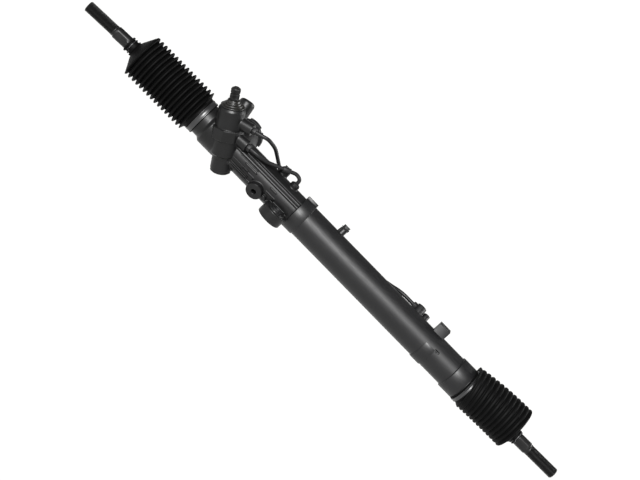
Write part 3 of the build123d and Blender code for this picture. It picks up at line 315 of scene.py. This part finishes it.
print("pinion axis:", PINION_WAY.round(4), "centre:", PINION_CENTRE.round(2))

# %% [markdown]
# Pieces whose CAD shape is right keep it, but CAD facets and knife edges give it away. A dressed copy
# merges the loose triangles, adds a narrow bevel on the sharp edges and shades the rest smoothly. The
# copy replaces the node in the pictures, while the node itself stays for the physics.

# %% Dressed copies of CAD nodes


MERGE_GAP = 0.002


def merged(name, mesh):
    """A scratch object that joins the mesh's points where they lie in the same place."""
    scratch = bpy.data.objects.new(name + "_scratch", mesh)
    bpy.context.collection.objects.link(scratch)
    weld = scratch.modifiers.new("merge", "WELD")
    weld.merge_threshold = MERGE_GAP * MM
    return scratch


def evaluated(scratch):
    """A new mesh with the object's modifiers worked in."""
    return bpy.data.meshes.new_from_object(scratch.evaluated_get(bpy.context.evaluated_depsgraph_get()))


def dressed(node_name, body, bevel_mm, crease_degrees=32.0):
    """Copies a node's mesh, merges its doubles and bevels its creases, and replaces the node."""
    name = node_name + "_dressed"
    mesh = frame["nodes"][node_name].data.copy()
    mesh.name = name
    mesh.transform(frame["nodes"][node_name].matrix_world)
    scratch = merged(name, mesh)
    if bevel_mm:
        bevel = scratch.modifiers.new("edges", "BEVEL")
        bevel.width = bevel_mm * MM
        bevel.segments = 2
        bevel.limit_method = "ANGLE"
        bevel.angle_limit = math.radians(crease_degrees)
        bevel.use_clamp_overlap = True
        bevel.harden_normals = False
    shaped = evaluated(scratch)
    bpy.data.objects.remove(scratch)
    shaped.name = name
    piece = finished(name, shaped, slot_of[node_name], body, crease_degrees=40.0)
    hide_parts(node_name)
    return piece


def true_round(piece, radius, tolerance=0.05):
    """Turns the normals of a mesh's faces on one cylinder about X so that they point straight out."""
    mesh = piece.data
    points = values(mesh.vertices, "co", 3) / MM
    corner = values(mesh.loops, "vertex_index", kind=np.int64)
    start = values(mesh.polygons, "loop_start", kind=np.int64)
    count = values(mesh.polygons, "loop_total", kind=np.int64)
    off = np.abs(np.hypot(points[corner, 1], points[corner, 2]) - radius) > tolerance
    on = np.repeat(np.add.reduceat(off, start) == 0, count)
    flat = values(mesh.polygons, "normal", 3)
    on &= np.repeat(np.abs(flat[:, 0]) < 0.1, count)
    normals = values(mesh.corner_normals, "vector", 3)
    outward = points[corner] * (0, 1, 1)
    normals[on] = outward[on] / np.linalg.norm(outward[on], axis=1, keepdims=True)
    mesh.normals_split_custom_set(normals.tolist())
    return int(on.sum())


body_of = {node: body for body, nodes in frame["record"]["behaviour"]["bodies"].items() for node in nodes}
edge_width = {"bottom_cap": 2.4, "adjuster_plug": 0.5, "adjuster_lock_nut": 0.6, "cylinder_tube": 0.5,
              "tube_collar": 0.5, "tube_end_sleeve": 0.5, "line_nuts": 0.5, "line_clamp": 0.4,
              "tube_clip": 0.4, "clip_bolts": 0.5, "mounting_sleeve": 0.4, "mounting_bush": 0.6,
              "near_line": 0.0, "far_line": 0.0}
for node_name, width in edge_width.items():
    copy = dressed(node_name, body_of[node_name], width)
    print(copy.name, len(copy.data.polygons), "faces")
    if node_name == "cylinder_tube":
        print("corners set square to the tube:", true_round(copy, TUBE_RADIUS))

# %% [markdown]
# The housing is one casting, and on a real casting no two forms meet in a knife edge: the pattern
# maker fillets every corner so that the metal flows and the part doesn't crack. To get these fillets
# we remesh a copy of the CAD node into small even cells, then relax it: each point moves toward the
# average of its neighbours and partly back again, which rounds corners without shrinking the whole.
# Machined faces and bores stay crisp, because points near them are held.

# %% Casting with soft fillets


def neighbour_average(points, edges, count):
    """The mean place of each point's neighbours, added up over all edges at once."""
    total = np.zeros_like(points)
    for axis in range(3):
        total[:, axis] = (np.bincount(edges[:, 0], points[edges[:, 1], axis], len(points))
                          + np.bincount(edges[:, 1], points[edges[:, 0], axis], len(points)))
    return total / count[:, None]


def relaxed(points, edges, hold, rounds, shrink=0.55, grow=-0.565):
    """Alternates a shrinking and a growing step of smoothing; hold is 1 where a point stays."""
    count = np.bincount(edges.ravel(), minlength=len(points)).astype(float)
    free = (1 - hold)[:, None]
    for _ in range(rounds):
        for step in (shrink, grow):
            points = points + step * free * (neighbour_average(points, edges, count) - points)
    return points


def gap_to_axis(points, centre, way):
    """Height along and distance from an axis, for all points."""
    offset = points - centre
    height = offset @ way
    return height, np.linalg.norm(offset - height[:, None] * way, axis=1)


def casting(cell_mm=0.8, rounds=4, share=0.4):
    """The remeshed, relaxed and thinned housing."""
    scratch = merged("casting", frame["nodes"]["gear_housing"].data.copy())
    cells = scratch.modifiers.new("cells", "REMESH")
    cells.mode = "VOXEL"
    cells.voxel_size = cell_mm * MM
    mesh = evaluated(scratch)
    points = values(mesh.vertices, "co", 3) / MM
    edges = values(mesh.edges, "vertices", 2, np.int64)
    hold = np.zeros(len(points))
    height, radius = gap_to_axis(points, PINION_CENTRE, PINION_WAY)
    hold[(height > 61.0) & (radius < 16.5)] = 1
    depth, radius = gap_to_axis(points, GUIDE_CENTRE, GUIDE_WAY)
    hold[(depth > 54.5) & (radius < 30)] = 1
    hold[points[:, 0] < NECK_START + 2] = 1
    hold[points[:, 0] > HOUSING_END - 1.5] = 1
    points = relaxed(points, edges, hold, rounds)
    mesh.vertices.foreach_set("co", (points * MM).ravel())
    scratch.modifiers.clear()
    scratch.data = mesh
    thin = scratch.modifiers.new("thin", "DECIMATE")
    thin.ratio = share
    result = evaluated(scratch)
    bpy.data.objects.remove(scratch)
    result.name = "housing_casting"
    return result


housing_casting = finished("housing_casting", casting(), "housing_paint", "housing", crease_degrees=50.0)
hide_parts("gear_housing")
print("casting:", len(housing_casting.data.polygons), "faces")

# %% [markdown]
# Thin fins run along the barrel's front. They stiffen the casting, and they taper toward their tops
# and ends so that it leaves its mould. A fin is a half oval section with full sides, carried along X:
# its point at angle c is half the width times the signed root of cosine c across, and the height
# times sine c outward, and both shrink toward the ends. Its foot sinks a little into the barrel.

# %% Fins on the barrel
BARREL_RADIUS, FIN_FOOT = 25.5, 0.4


def fin(name, start, end, around_degrees, width, height):
    """A rounded fin along X on the barrel, at an angle from +Y through +Z."""
    share = np.linspace(0, 1, 25)
    size = np.clip(np.minimum(share, 1 - share) * 12, 0.05, 1) ** 0.5
    c = np.linspace(0, 2 * math.pi, 24, endpoint=False)
    across = 0.5 * width * size[:, None] * np.sign(np.cos(c)) * np.abs(np.cos(c)) ** 0.5
    out = BARREL_RADIUS - FIN_FOOT + np.maximum(np.sin(c), -0.3) * (height + FIN_FOOT) * size[:, None]
    a = math.radians(around_degrees)
    x = np.repeat((start + share * (end - start))[:, None], len(c), axis=1)
    grid = np.stack([x, out * math.cos(a) - across * math.sin(a),
                     out * math.sin(a) + across * math.cos(a)], axis=-1)
    return surface(name, grid, "housing_paint", "housing", crease_degrees=50.0, flip=True)


fins = [(-268, -232, 183, 1.7, 1.8), (-266, -228, 199, 1.7, 1.8), (-264, -228, 206, 1.7, 1.8),
        (-247, -222, 169, 3.4, 2.0), (-195, -181, 168, 3.4, 2.0), (-262, -222, 160, 1.5, 1.5)]
for number, row in enumerate(fins):
    print(fin("barrel_fin_%d" % number, *row).name)

# %% [markdown]
# A bellows keeps dirt and water off the rack while it slides. It is a rubber tube moulded in a row of
# pleats. Each has a full, rounded crest and a narrow root, where it folds. Raising a cosine wave to a
# power gives that section: it stays near its top for long and dips briefly. The left bellows is
# stretched and even. The right one is squeezed, so its pleats crowd, lean back over the clamp and
# bulge upwards.

# %% Bellows surface
WALL = 1.5
ROWS_PER_PLEAT = 12


def pleat(phase, power=1.6):
    """0 at a crest (whole phase), 1 at a root (half phase): (half of 1 - cos(2 pi phase)) to a power."""
    return (0.5 - 0.5 * np.cos(2 * math.pi * phase)) ** power


def hoops(x, z, tilt_degrees, radius, around=AROUND):
    """Circles as a grid: each has its centre at (x, 0, z) and is tipped back by its tilt.

    A point is centre + radius * (cos a * tipped up + sin a * Y), and tipped up is
    (-sin tilt, 0, cos tilt)."""
    angle = np.arange(around) * 2 * math.pi / around
    tilt = np.radians(tilt_degrees)
    up = np.stack([-np.sin(tilt), np.zeros_like(tilt), np.cos(tilt)], axis=-1)
    centre = np.stack([x, np.zeros_like(x), z], axis=-1)
    across = np.array((0, 1, 0))
    return (centre[:, None] + radius[:, None, None]
            * (np.cos(angle)[None, :, None] * up[:, None] + np.sin(angle)[None, :, None] * across))


def shell(name, rows, inner_rows, slot):
    """A closed shell from outer and inner rows of (x, z, tilt, radius) circles."""
    rows = np.concatenate([rows, inner_rows[::-1]])
    grid = hoops(rows[:, 0], rows[:, 1], rows[:, 2], rows[:, 3])
    return surface(name, grid, slot, closed_rows=True, crease_degrees=60.0)


def rod_rows(ball, way, places):
    """Circles on a tie rod's axis from (distance from the ball, radius) pairs."""
    places = np.array(places, float)
    tilt = math.degrees(math.atan2(way[2] * math.copysign(1, way[0]), abs(way[0])))
    x = ball[0] + places[:, 0] * way[0]
    z = ball[2] + places[:, 0] * way[2]
    return np.stack([x, z, np.full(len(x), tilt), places[:, 1]], axis=1)


def thin_wall(rows, wall=WALL):
    """The same circles, one wall thickness smaller."""
    inner = rows.copy()
    inner[:, 3] -= wall
    return inner


LEFT_FIRST, LEFT_LAST, LEFT_PLEATS = -352.6, -466.4, 15
LEFT_CREST, LEFT_DEPTH = 37.0, 5.6
left_share = np.linspace(0, 1, LEFT_PLEATS * ROWS_PER_PLEAT + 1)
droop = math.tan(LEFT_DROOP) * (LEFT_LAST - LEFT_BALL[0])
left_rows = np.stack([LEFT_FIRST + left_share * (LEFT_LAST - LEFT_FIRST), left_share * droop,
                      np.zeros_like(left_share),
                      LEFT_CREST - LEFT_DEPTH * pleat(left_share * LEFT_PLEATS)], axis=1)
left_cuff = np.array([(-335.9, 0, 0, 27.2), (-336.2, 0, 0, 28.6), (-336.8, 0, 0, 29.0),
                      (-337.4, 0, 0, 28.15), (-345.0, 0, 0, 28.15), (-345.6, 0, 0, 29.0),
                      (-346.6, 0, 0, 29.2), (-347.6, 0, 0, 28.9), (-349.6, 0, 0, 29.4),
                      (-351.2, 0, 0, 33.0)])
left_outer = np.concatenate([left_cuff, left_rows])
left_bore = np.concatenate([[(-335.9, 0, 0, 26.6), (-349.4, 0, 0, 26.6), (-351.4, 0, 0, 31.0)],
                            thin_wall(left_rows)])
left_bellows = shell("left_bellows_folds", left_outer, left_bore, "rubber")
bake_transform(left_bellows)
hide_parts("left_bellows")

left_collar = rod_rows(LEFT_BALL, LEFT_WAY,
                       [(27.4, 14.9), (28.4, 12.6), (29.2, 12.0), (30.2, 12.9), (31.2, 12.9), (31.9, 10.6),
                        (39.2, 10.6), (39.8, 12.2), (41.2, 12.6), (42.4, 12.0), (42.6, 10.4)])
left_end = np.concatenate([left_rows[-2:], [(-467.6, droop, 1.4, 36.2), (-473.2, droop - 0.2, 2.0, 25.6)],
                           left_collar])
left_end_bore = np.concatenate([thin_wall(left_end[:-9], 1.3),
                                rod_rows(LEFT_BALL, LEFT_WAY, [(30.5, 9.6), (41.0, 9.6), (42.4, 10.3)])])
left_cone = shell("left_bellows_cone", left_end, left_end_bore, "rubber")
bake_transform(left_cone)
print("left bellows:", len(left_bellows.data.polygons), "and", len(left_cone.data.polygons), "faces")

# %% [markdown]
# The right bellows uses the same pleat, but each circle's centre, tilt and size change along the row.
# Its first pleat hangs back over the band clamp, so the wall runs back from the cuff before the
# pleats start. The inside skips the first pleat and a half, where nothing can be seen.

# %% Right bellows
RIGHT_FIRST, RIGHT_LAST, RIGHT_PLEATS = 231.0, 323.5, 12
RIGHT_CREST, RIGHT_BULGE, RIGHT_DEPTH, RIGHT_LEAN = 35.0, 2.5, 3.0, 14.0
right_share = np.linspace(0, 1, RIGHT_PLEATS * ROWS_PER_PLEAT + 1)
swell = 1 - (1 - right_share) ** 2
deepening = 0.45 + 0.55 * np.minimum(1, 4 * right_share)
right_rows = np.stack([RIGHT_FIRST + right_share * (RIGHT_LAST - RIGHT_FIRST), 2.5 + 6.0 * swell,
                       RIGHT_LEAN * (1 - right_share) ** 1.3,
                       RIGHT_CREST + RIGHT_BULGE * swell - RIGHT_DEPTH * deepening
                       * pleat(right_share * RIGHT_PLEATS, power=2.0)], axis=1)
right_cuff = np.array([(222.2, 0, 0, 27.2), (222.4, 0, 0, 28.6), (223.2, 0, 0, 29.0), (224.4, 0, 0, 28.15),
                       (231.6, 0, 0, 28.15), (232.6, 0.2, 1.5, 28.5), (232.3, 1.2, 6.0, 30.8),
                       (231.7, 2.0, 10.0, 33.0)])
right_bore = np.concatenate([[(222.2, 0, 0, 26.6), (236.2, 0, 0, 26.6), (237.5, 1.5, 4.0, 27.6)],
                             thin_wall(right_rows[ROWS_PER_PLEAT * 3 // 2:])])
right_bellows = shell("right_bellows_folds", np.concatenate([right_cuff, right_rows]), right_bore, "rubber")
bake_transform(right_bellows)
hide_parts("right_bellows")

right_collar = rod_rows(RIGHT_BALL, RIGHT_WAY,
                        [(33.0, 15.0), (34.2, 12.9), (34.9, 12.9), (35.4, 10.6), (39.1, 10.6),
                         (39.5, 11.8), (40.2, 11.9), (40.5, 10.4)])
right_end = np.concatenate([right_rows[-2:], [(324.6, 8.5, 0, 36.8), (326.0, 7.8, 0, 32.5),
                                              (328.0, 5.5, 0, 24.0), (329.5, 3.6, 0.5, 19.0)],
                            right_collar])
right_end_bore = np.concatenate([thin_wall(right_end[:-len(right_collar)], 1.4),
                                 rod_rows(RIGHT_BALL, RIGHT_WAY,
                                          [(33.6, 10.4), (35.4, 9.6), (40.0, 9.6), (40.4, 10.2)])])
right_cone = shell("right_bellows_end", right_end, right_end_bore, "rubber")
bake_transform(right_cone)
print("right bellows:", len(right_bellows.data.polygons), "and", len(right_cone.data.polygons), "faces")

# %% [markdown]
# A band clamp is a strip of coated steel drawn tight round the cuff. Its edges are rolled outward
# so that they don't cut the rubber, and a crimped ear takes up the slack. The band is a lathe ring
# whose profile is the strip's section, and the ear is a short strip bent into an arch.

# %% Band clamps


def band_clamp(node_name, start, end, inner=28.2):
    """A strip ring with rolled edges, and an arched ear at the back, as two objects."""
    width = end - start
    profile = [(start, inner), (end, inner), (end + 0.25, inner + 0.7), (end, inner + 1.45),
               (end - 0.9, inner + 1.45), (end - 1.5, inner + 1.0), (start + 1.5, inner + 1.0),
               (start + 0.9, inner + 1.45), (start, inner + 1.45), (start - 0.25, inner + 0.7)]
    band = lathe(node_name + "_band", profile, "band_steel", "housing", ring=True, around=160)
    along = np.linspace(-1, 1, 17)
    angle = math.radians(-12) + along * 0.21
    dip = 1 - 0.35 * np.exp(-(along / 0.3) ** 2)
    arch = inner + 1.2 + 4.6 * np.clip(1 - np.abs(along) ** 3.2, 0, 1) * dip
    section = np.array([(-0.42, 0.0), (0.42, 0.0), (0.42, 0.9), (-0.42, 0.9)]) * (width, 1)
    place = np.tile((start + end) / 2 + section[:, 0], (len(along), 1))
    radius = arch[:, None] + section[None, :, 1]
    grid = np.stack([place, radius * np.cos(angle)[:, None], radius * np.sin(angle)[:, None]], axis=-1)
    ear = surface(node_name + "_ear", grid, "band_steel", "housing", flip=True)
    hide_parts(node_name)
    return band, ear


for node_name, ends in {"left_big_clamp": (-344.7, -337.2), "right_big_clamp": (225.0, 230.4)}.items():
    band, ear = band_clamp(node_name, *ends)
    print(band.name, len(band.data.polygons), "faces, ear", len(ear.data.polygons))

# %% [markdown]
# The small end is held by a spring clip: round wire that goes once round the collar, with two bent
# ends to squeeze. A wire ring is a tube swept along a circle: point (i, j) lies on a small circle j
# round point i of the large one.

# %% Spring clips on the small ends


def unit_rows(vectors):
    """Each row divided by its length."""
    return vectors / np.linalg.norm(vectors, axis=1, keepdims=True)


def spring_clip(node_name, ball, way, distance, radius, wire=0.9):
    """A wire ring round a tie rod's axis whose two ends stand up side by side."""
    turn = np.linspace(math.radians(-170), math.radians(190), 97)
    lift = 6.0 * np.clip(1 - (np.minimum(turn - turn[0], turn[-1] - turn) / 0.16), 0, 1) ** 1.5
    side, up = np.array((0, 1.0, 0)), unit(np.cross(way, (0, 1, 0)))
    up = up * math.copysign(1, up[2])
    lead = np.linspace(-1.15, 1.15, len(turn))
    reach = radius + wire + lift
    centre = (ball + way * distance + lead[:, None] * way
              + reach[:, None] * (np.cos(turn)[:, None] * side + np.sin(turn)[:, None] * up))
    out = unit_rows(np.cos(turn)[:, None] * side + np.sin(turn)[:, None] * up)
    around = np.arange(12) * 2 * math.pi / 12
    grid = centre[:, None] + wire * (np.cos(around)[None, :, None] * out[:, None]
                                     + np.sin(around)[None, :, None] * np.array(way)[None, None])
    clip = surface(node_name + "_wire", grid, "band_steel", body_of[node_name], flip=way[0] < 0)
    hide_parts(node_name)
    return clip


for clip in (spring_clip("left_small_clip", LEFT_BALL, LEFT_WAY, 35.5, 10.7),
             spring_clip("right_small_clip", RIGHT_BALL, RIGHT_WAY, 37.2, 10.7)):
    print(clip.name, len(clip.data.polygons), "faces")

# %% [markdown]
# A tie rod's outer end has an M18 thread of 1.5 mm pitch, on which the ball joint is adjusted and
# locked. A thread is a lathe surface whose radius also depends on the angle: the groove's phase is
# the place along the rod divided by the pitch, plus the angle divided by a full turn, so that the
# groove climbs one pitch in one turn. The two spanner flats are made by not letting the surface go
# further out than the flat.

# %% Tie rods with threads and flats
THREAD_PITCH, THREAD_DEPTH, THREAD_LENGTH, THREAD_RADIUS = 1.5, 0.92, 54, 9.0
ROD_RADIUS, ROD_BALL_RADIUS, FLAT_DEPTH = 10.0, 12, 1.4


def threaded(start, end):
    """A ripple that cuts a rounded V groove between two places and fades in over one pitch."""
    def cut(place, radius, angle):
        phase = place / THREAD_PITCH + angle / (2 * math.pi)
        groove = np.abs((phase % 1) * 2 - 1) ** 1.2
        fade = np.clip((place - start) / THREAD_PITCH, 0, 1) * np.clip((end - place) / THREAD_PITCH, 0, 1)
        return radius - THREAD_DEPTH * groove * fade
    return cut


def tie_rod(node_name, ball, way, tip_x):
    """Ball, neck, groove for the bellows, shank, flats and threaded end as one lathe surface."""
    length = abs((tip_x - ball[0]) / way[0])
    thread = length - THREAD_LENGTH
    angle = np.radians(np.linspace(0, 150, 24))
    ball_points = [(-ROD_BALL_RADIUS * math.cos(a), ROD_BALL_RADIUS * math.sin(a)) for a in angle]
    body = ball_points + [(14, 6.0), (18, 8.0), (26, 9.0), (28, 9.0), (28.1, 8.2), (40, 8.2), (40.1, 9.6),
                          (40.6, ROD_RADIUS), (thread - 23, ROD_RADIUS), (thread - 22.5, ROD_RADIUS),
                          (thread - 6.5, ROD_RADIUS), (thread - 6, ROD_RADIUS), (thread - 3, ROD_RADIUS),
                          (thread - 0.8, 8.6)]
    fine = [(place, THREAD_RADIUS) for place in np.arange(thread, length - 1.5, THREAD_PITCH / 8)]
    body += fine + [(length - 1.4, THREAD_RADIUS), (length - 0.3, 8.0), (length, 7.5), (length, 0.01)]
    rod = lathe(node_name + "_threaded", body, slot_of[node_name], body_of[node_name], origin=ball, axis=way,
                ripple=threaded(thread, length - 0.8), around=72, crease_degrees=55.0)
    flats(rod, ball, way, thread - 22, thread - 6, ROD_RADIUS - FLAT_DEPTH)
    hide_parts(node_name)
    return rod


def flats(piece, ball, way, start, end, half):
    """Presses the points between two places down onto two flats square to Y."""
    points = values(piece.data.vertices, "co", 3)
    place = (points / MM - ball) @ way
    pressed = (place > start - 1) & (place < end + 1)
    points[pressed, 1] = np.clip(points[pressed, 1], -half * MM, half * MM)
    piece.data.vertices.foreach_set("co", points.ravel())
    piece.data.update()


for node_name, ball, way, tip in (("left_tie_rod", LEFT_BALL, LEFT_WAY, -575.0),
                                  ("right_tie_rod", RIGHT_BALL, RIGHT_WAY, 417.5)):
    rod = tie_rod(node_name, ball, way, tip)
    print(rod.name, len(rod.data.polygons), "faces")

# %% [markdown]
# The input shaft ends in fine splines, which carry the torque of the steering column's clamped joint.
# Splines are a ripple in the angle alone. A groove across them takes the clamp bolt. Below them sits
# the dust cover, a stepped rubber cap that turns with the shaft.

# %% Input shaft and dust cover
SPLINES = 36


def splined(place, radius, angle):
    """Cuts rounded splines into the stretch near the shaft's tip."""
    cut = 0.55 * (0.5 - 0.5 * np.cos(SPLINES * angle)) * ((place > 78.2) & (place < 92.5) & (radius > 6.4))
    return radius - cut


shaft_profile = filled([(30.0, 0.01), (30.0, 10.4), (55, 10.4), (55, 9.0), (67.5, 9.0), (67.5, 6.8),
                        (77.6, 6.8), (78.0, 7.25), (83.6, 7.25), (84.1, 6.5), (85.0, 6.2), (85.9, 6.5),
                        (86.4, 7.25), (92.0, 7.25), (93.4, 6.4), (94.6, 4.7), (95.4, 3.5),
                        (95.5, 0.01)], 1.5)
input_shaft = lathe("input_shaft_splined", shaft_profile, "ground_steel", "input_shaft",
                    origin=PINION_CENTRE, axis=PINION_WAY, ripple=splined, around=144,
                    crease_degrees=30.0)
input_shaft.data.materials[0] = shaft_steel
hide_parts("input_shaft")
cover_profile = [(65.0, 11.0), (65.0, 17.6), (65.3, 18.1), (65.9, 18.2), (66.5, 17.8), (66.9, 16.8),
                 (66.9, 15.4), (67.2, 14.8), (68.0, 14.7), (68.8, 14.6), (69.3, 14.0), (69.4, 12.8),
                 (69.7, 12.0),
                 (70.5, 11.8), (71.3, 11.7), (71.8, 11.2), (71.9, 10.2), (72.3, 9.7), (73.4, 9.6),
                 (74.6, 9.4), (75.2, 8.9), (75.45, 8.2), (75.3, 7.0), (68.6, 7.0), (67.6, 10.4)]
dust_cover = lathe("dust_cover_stepped", cover_profile, "rubber", "input_shaft", origin=PINION_CENTRE,
                   axis=PINION_WAY, ring=True, crease_degrees=50.0)
dust_cover.data.materials[0] = cover_rubber
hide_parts("dust_cover")
print("shaft:", len(input_shaft.data.polygons), "cover:", len(dust_cover.data.polygons), "faces")

# %% [markdown]
# The stage is a pale floor far under the rack, wide enough to reach the horizon, so that the picture's
# background is even. Dark satin paint shows little but reflections, and these set the light. A large
# round lamp stands above and to the left of the camera, and draws the broad highlight along the barrel.
# A weaker one stands behind and to the right, and lights the back and the tower's right side. The sky
# is bright only near the horizon and dim above, which keeps the upper rims dark, while the bright
# floor lifts the lower ones a little.

# %% Floor and light
floor_paint = finish("matt_pale_floor", "#c2c2c1", 0.9, reflection=0.1, grain_mm=400.0, grain_depth_mm=0.0,
                     patch_mm=900.0, rough_swing=0.02)
FLOOR_REACH, FLOOR_HEIGHT = 400, -2
floor_mesh = bpy.data.meshes.new("floor")
floor_mesh.from_pydata([(x * FLOOR_REACH, y * FLOOR_REACH, FLOOR_HEIGHT)
                        for x, y in ((-1, -1), (1, -1), (1, 1), (-1, 1))], [], [(0, 1, 2, 3)])
floor_mesh.materials.append(floor_paint)
floor = bpy.data.objects.new("floor", floor_mesh)
bpy.context.collection.objects.link(floor)

world = bpy.data.worlds.new("studio")
world.use_nodes = True
sky = world.node_tree
looked = add_node(sky, "ShaderNodeTexCoord")
height = add_node(sky, "ShaderNodeSeparateXYZ", links={"Vector": looked.outputs["Generated"]})
dimming = add_node(sky, "ShaderNodeMapRange",
                   {"From Min": 0.04, "From Max": 0.32, "To Min": 1.0, "To Max": 0.15},
                   {"Value": height.outputs["Z"]})
sky.links.new(dimming.outputs["Result"], sky.nodes["Background"].inputs["Strength"])
sky.nodes["Background"].inputs["Color"].default_value = (1, 1, 1, 1)
bpy.context.scene.world = world


def lamp(name, toward, width_degrees, strength):
    """A far round lamp in a direction, with its apparent width and its light on a facing surface."""
    data = bpy.data.lights.new(name, "SUN")
    data.angle, data.energy = math.radians(width_degrees), strength
    light = bpy.data.objects.new(name, data)
    bpy.context.collection.objects.link(light)
    back = unit(toward)
    side = unit(np.cross((0, 0, 1), back))
    matrix = np.eye(4)
    matrix[:3, :3] = np.stack([side, np.cross(back, side), back], axis=1)
    light.matrix_world = Matrix(matrix.tolist())
    return light


lamp("key", (-0.2, -0.82, 0.54), 24.0, 8.0)
lamp("side", (0.72, 0.42, 0.55), 36.0, 2.4)

# %% [markdown]
# The camera is a 90 mm lens 2.4 m away, a little to the left and 15 degrees up, and rolled so that
# the rack runs down to the right. Its axes are built by hand: the way to the target, the level right
# and up, a small shift that centres the rack in the picture, and then the roll.

# %% Camera
DISTANCE, YAW, RISE, ROLL = 2.4, math.radians(3.5), math.radians(15.0), math.radians(45.648)
FOCAL_PIXELS, PICTURE_WIDTH, SENSOR_MM = 1600.0, 640, 36.0
SHIFT_RIGHT, SHIFT_DOWN = 9.32, 2.06
target = np.array((-0.1, 0.0, 0.0))
from_target = np.array((-math.sin(YAW) * math.cos(RISE), -math.cos(YAW) * math.cos(RISE),
                        math.sin(RISE)))
toward = -from_target
level_right = unit(np.array((1.0, 0, 0)) - toward[0] * toward)
level_up = np.cross(level_right, toward)
looking = unit(FOCAL_PIXELS * toward + SHIFT_RIGHT * level_right - SHIFT_DOWN * level_up)
right = math.cos(ROLL) * level_right + math.sin(ROLL) * level_up
right = unit(right - (right @ looking) * looking)
camera_data = bpy.data.cameras.new("camera")
camera_data.sensor_width, camera_data.lens = SENSOR_MM, SENSOR_MM * FOCAL_PIXELS / PICTURE_WIDTH
camera_data.clip_end = 1200.0
camera = bpy.data.objects.new("camera", camera_data)
bpy.context.collection.objects.link(camera)
placed = np.eye(4)
placed[:3, 0], placed[:3, 1], placed[:3, 2] = right, np.cross(right, looking), -looking
placed[:3, 3] = target + DISTANCE * from_target
camera.matrix_world = Matrix(placed.tolist())
bpy.context.scene.camera = camera
bpy.context.scene.view_settings.view_transform = "Standard"
print("camera at", placed[:3, 3].round(3))
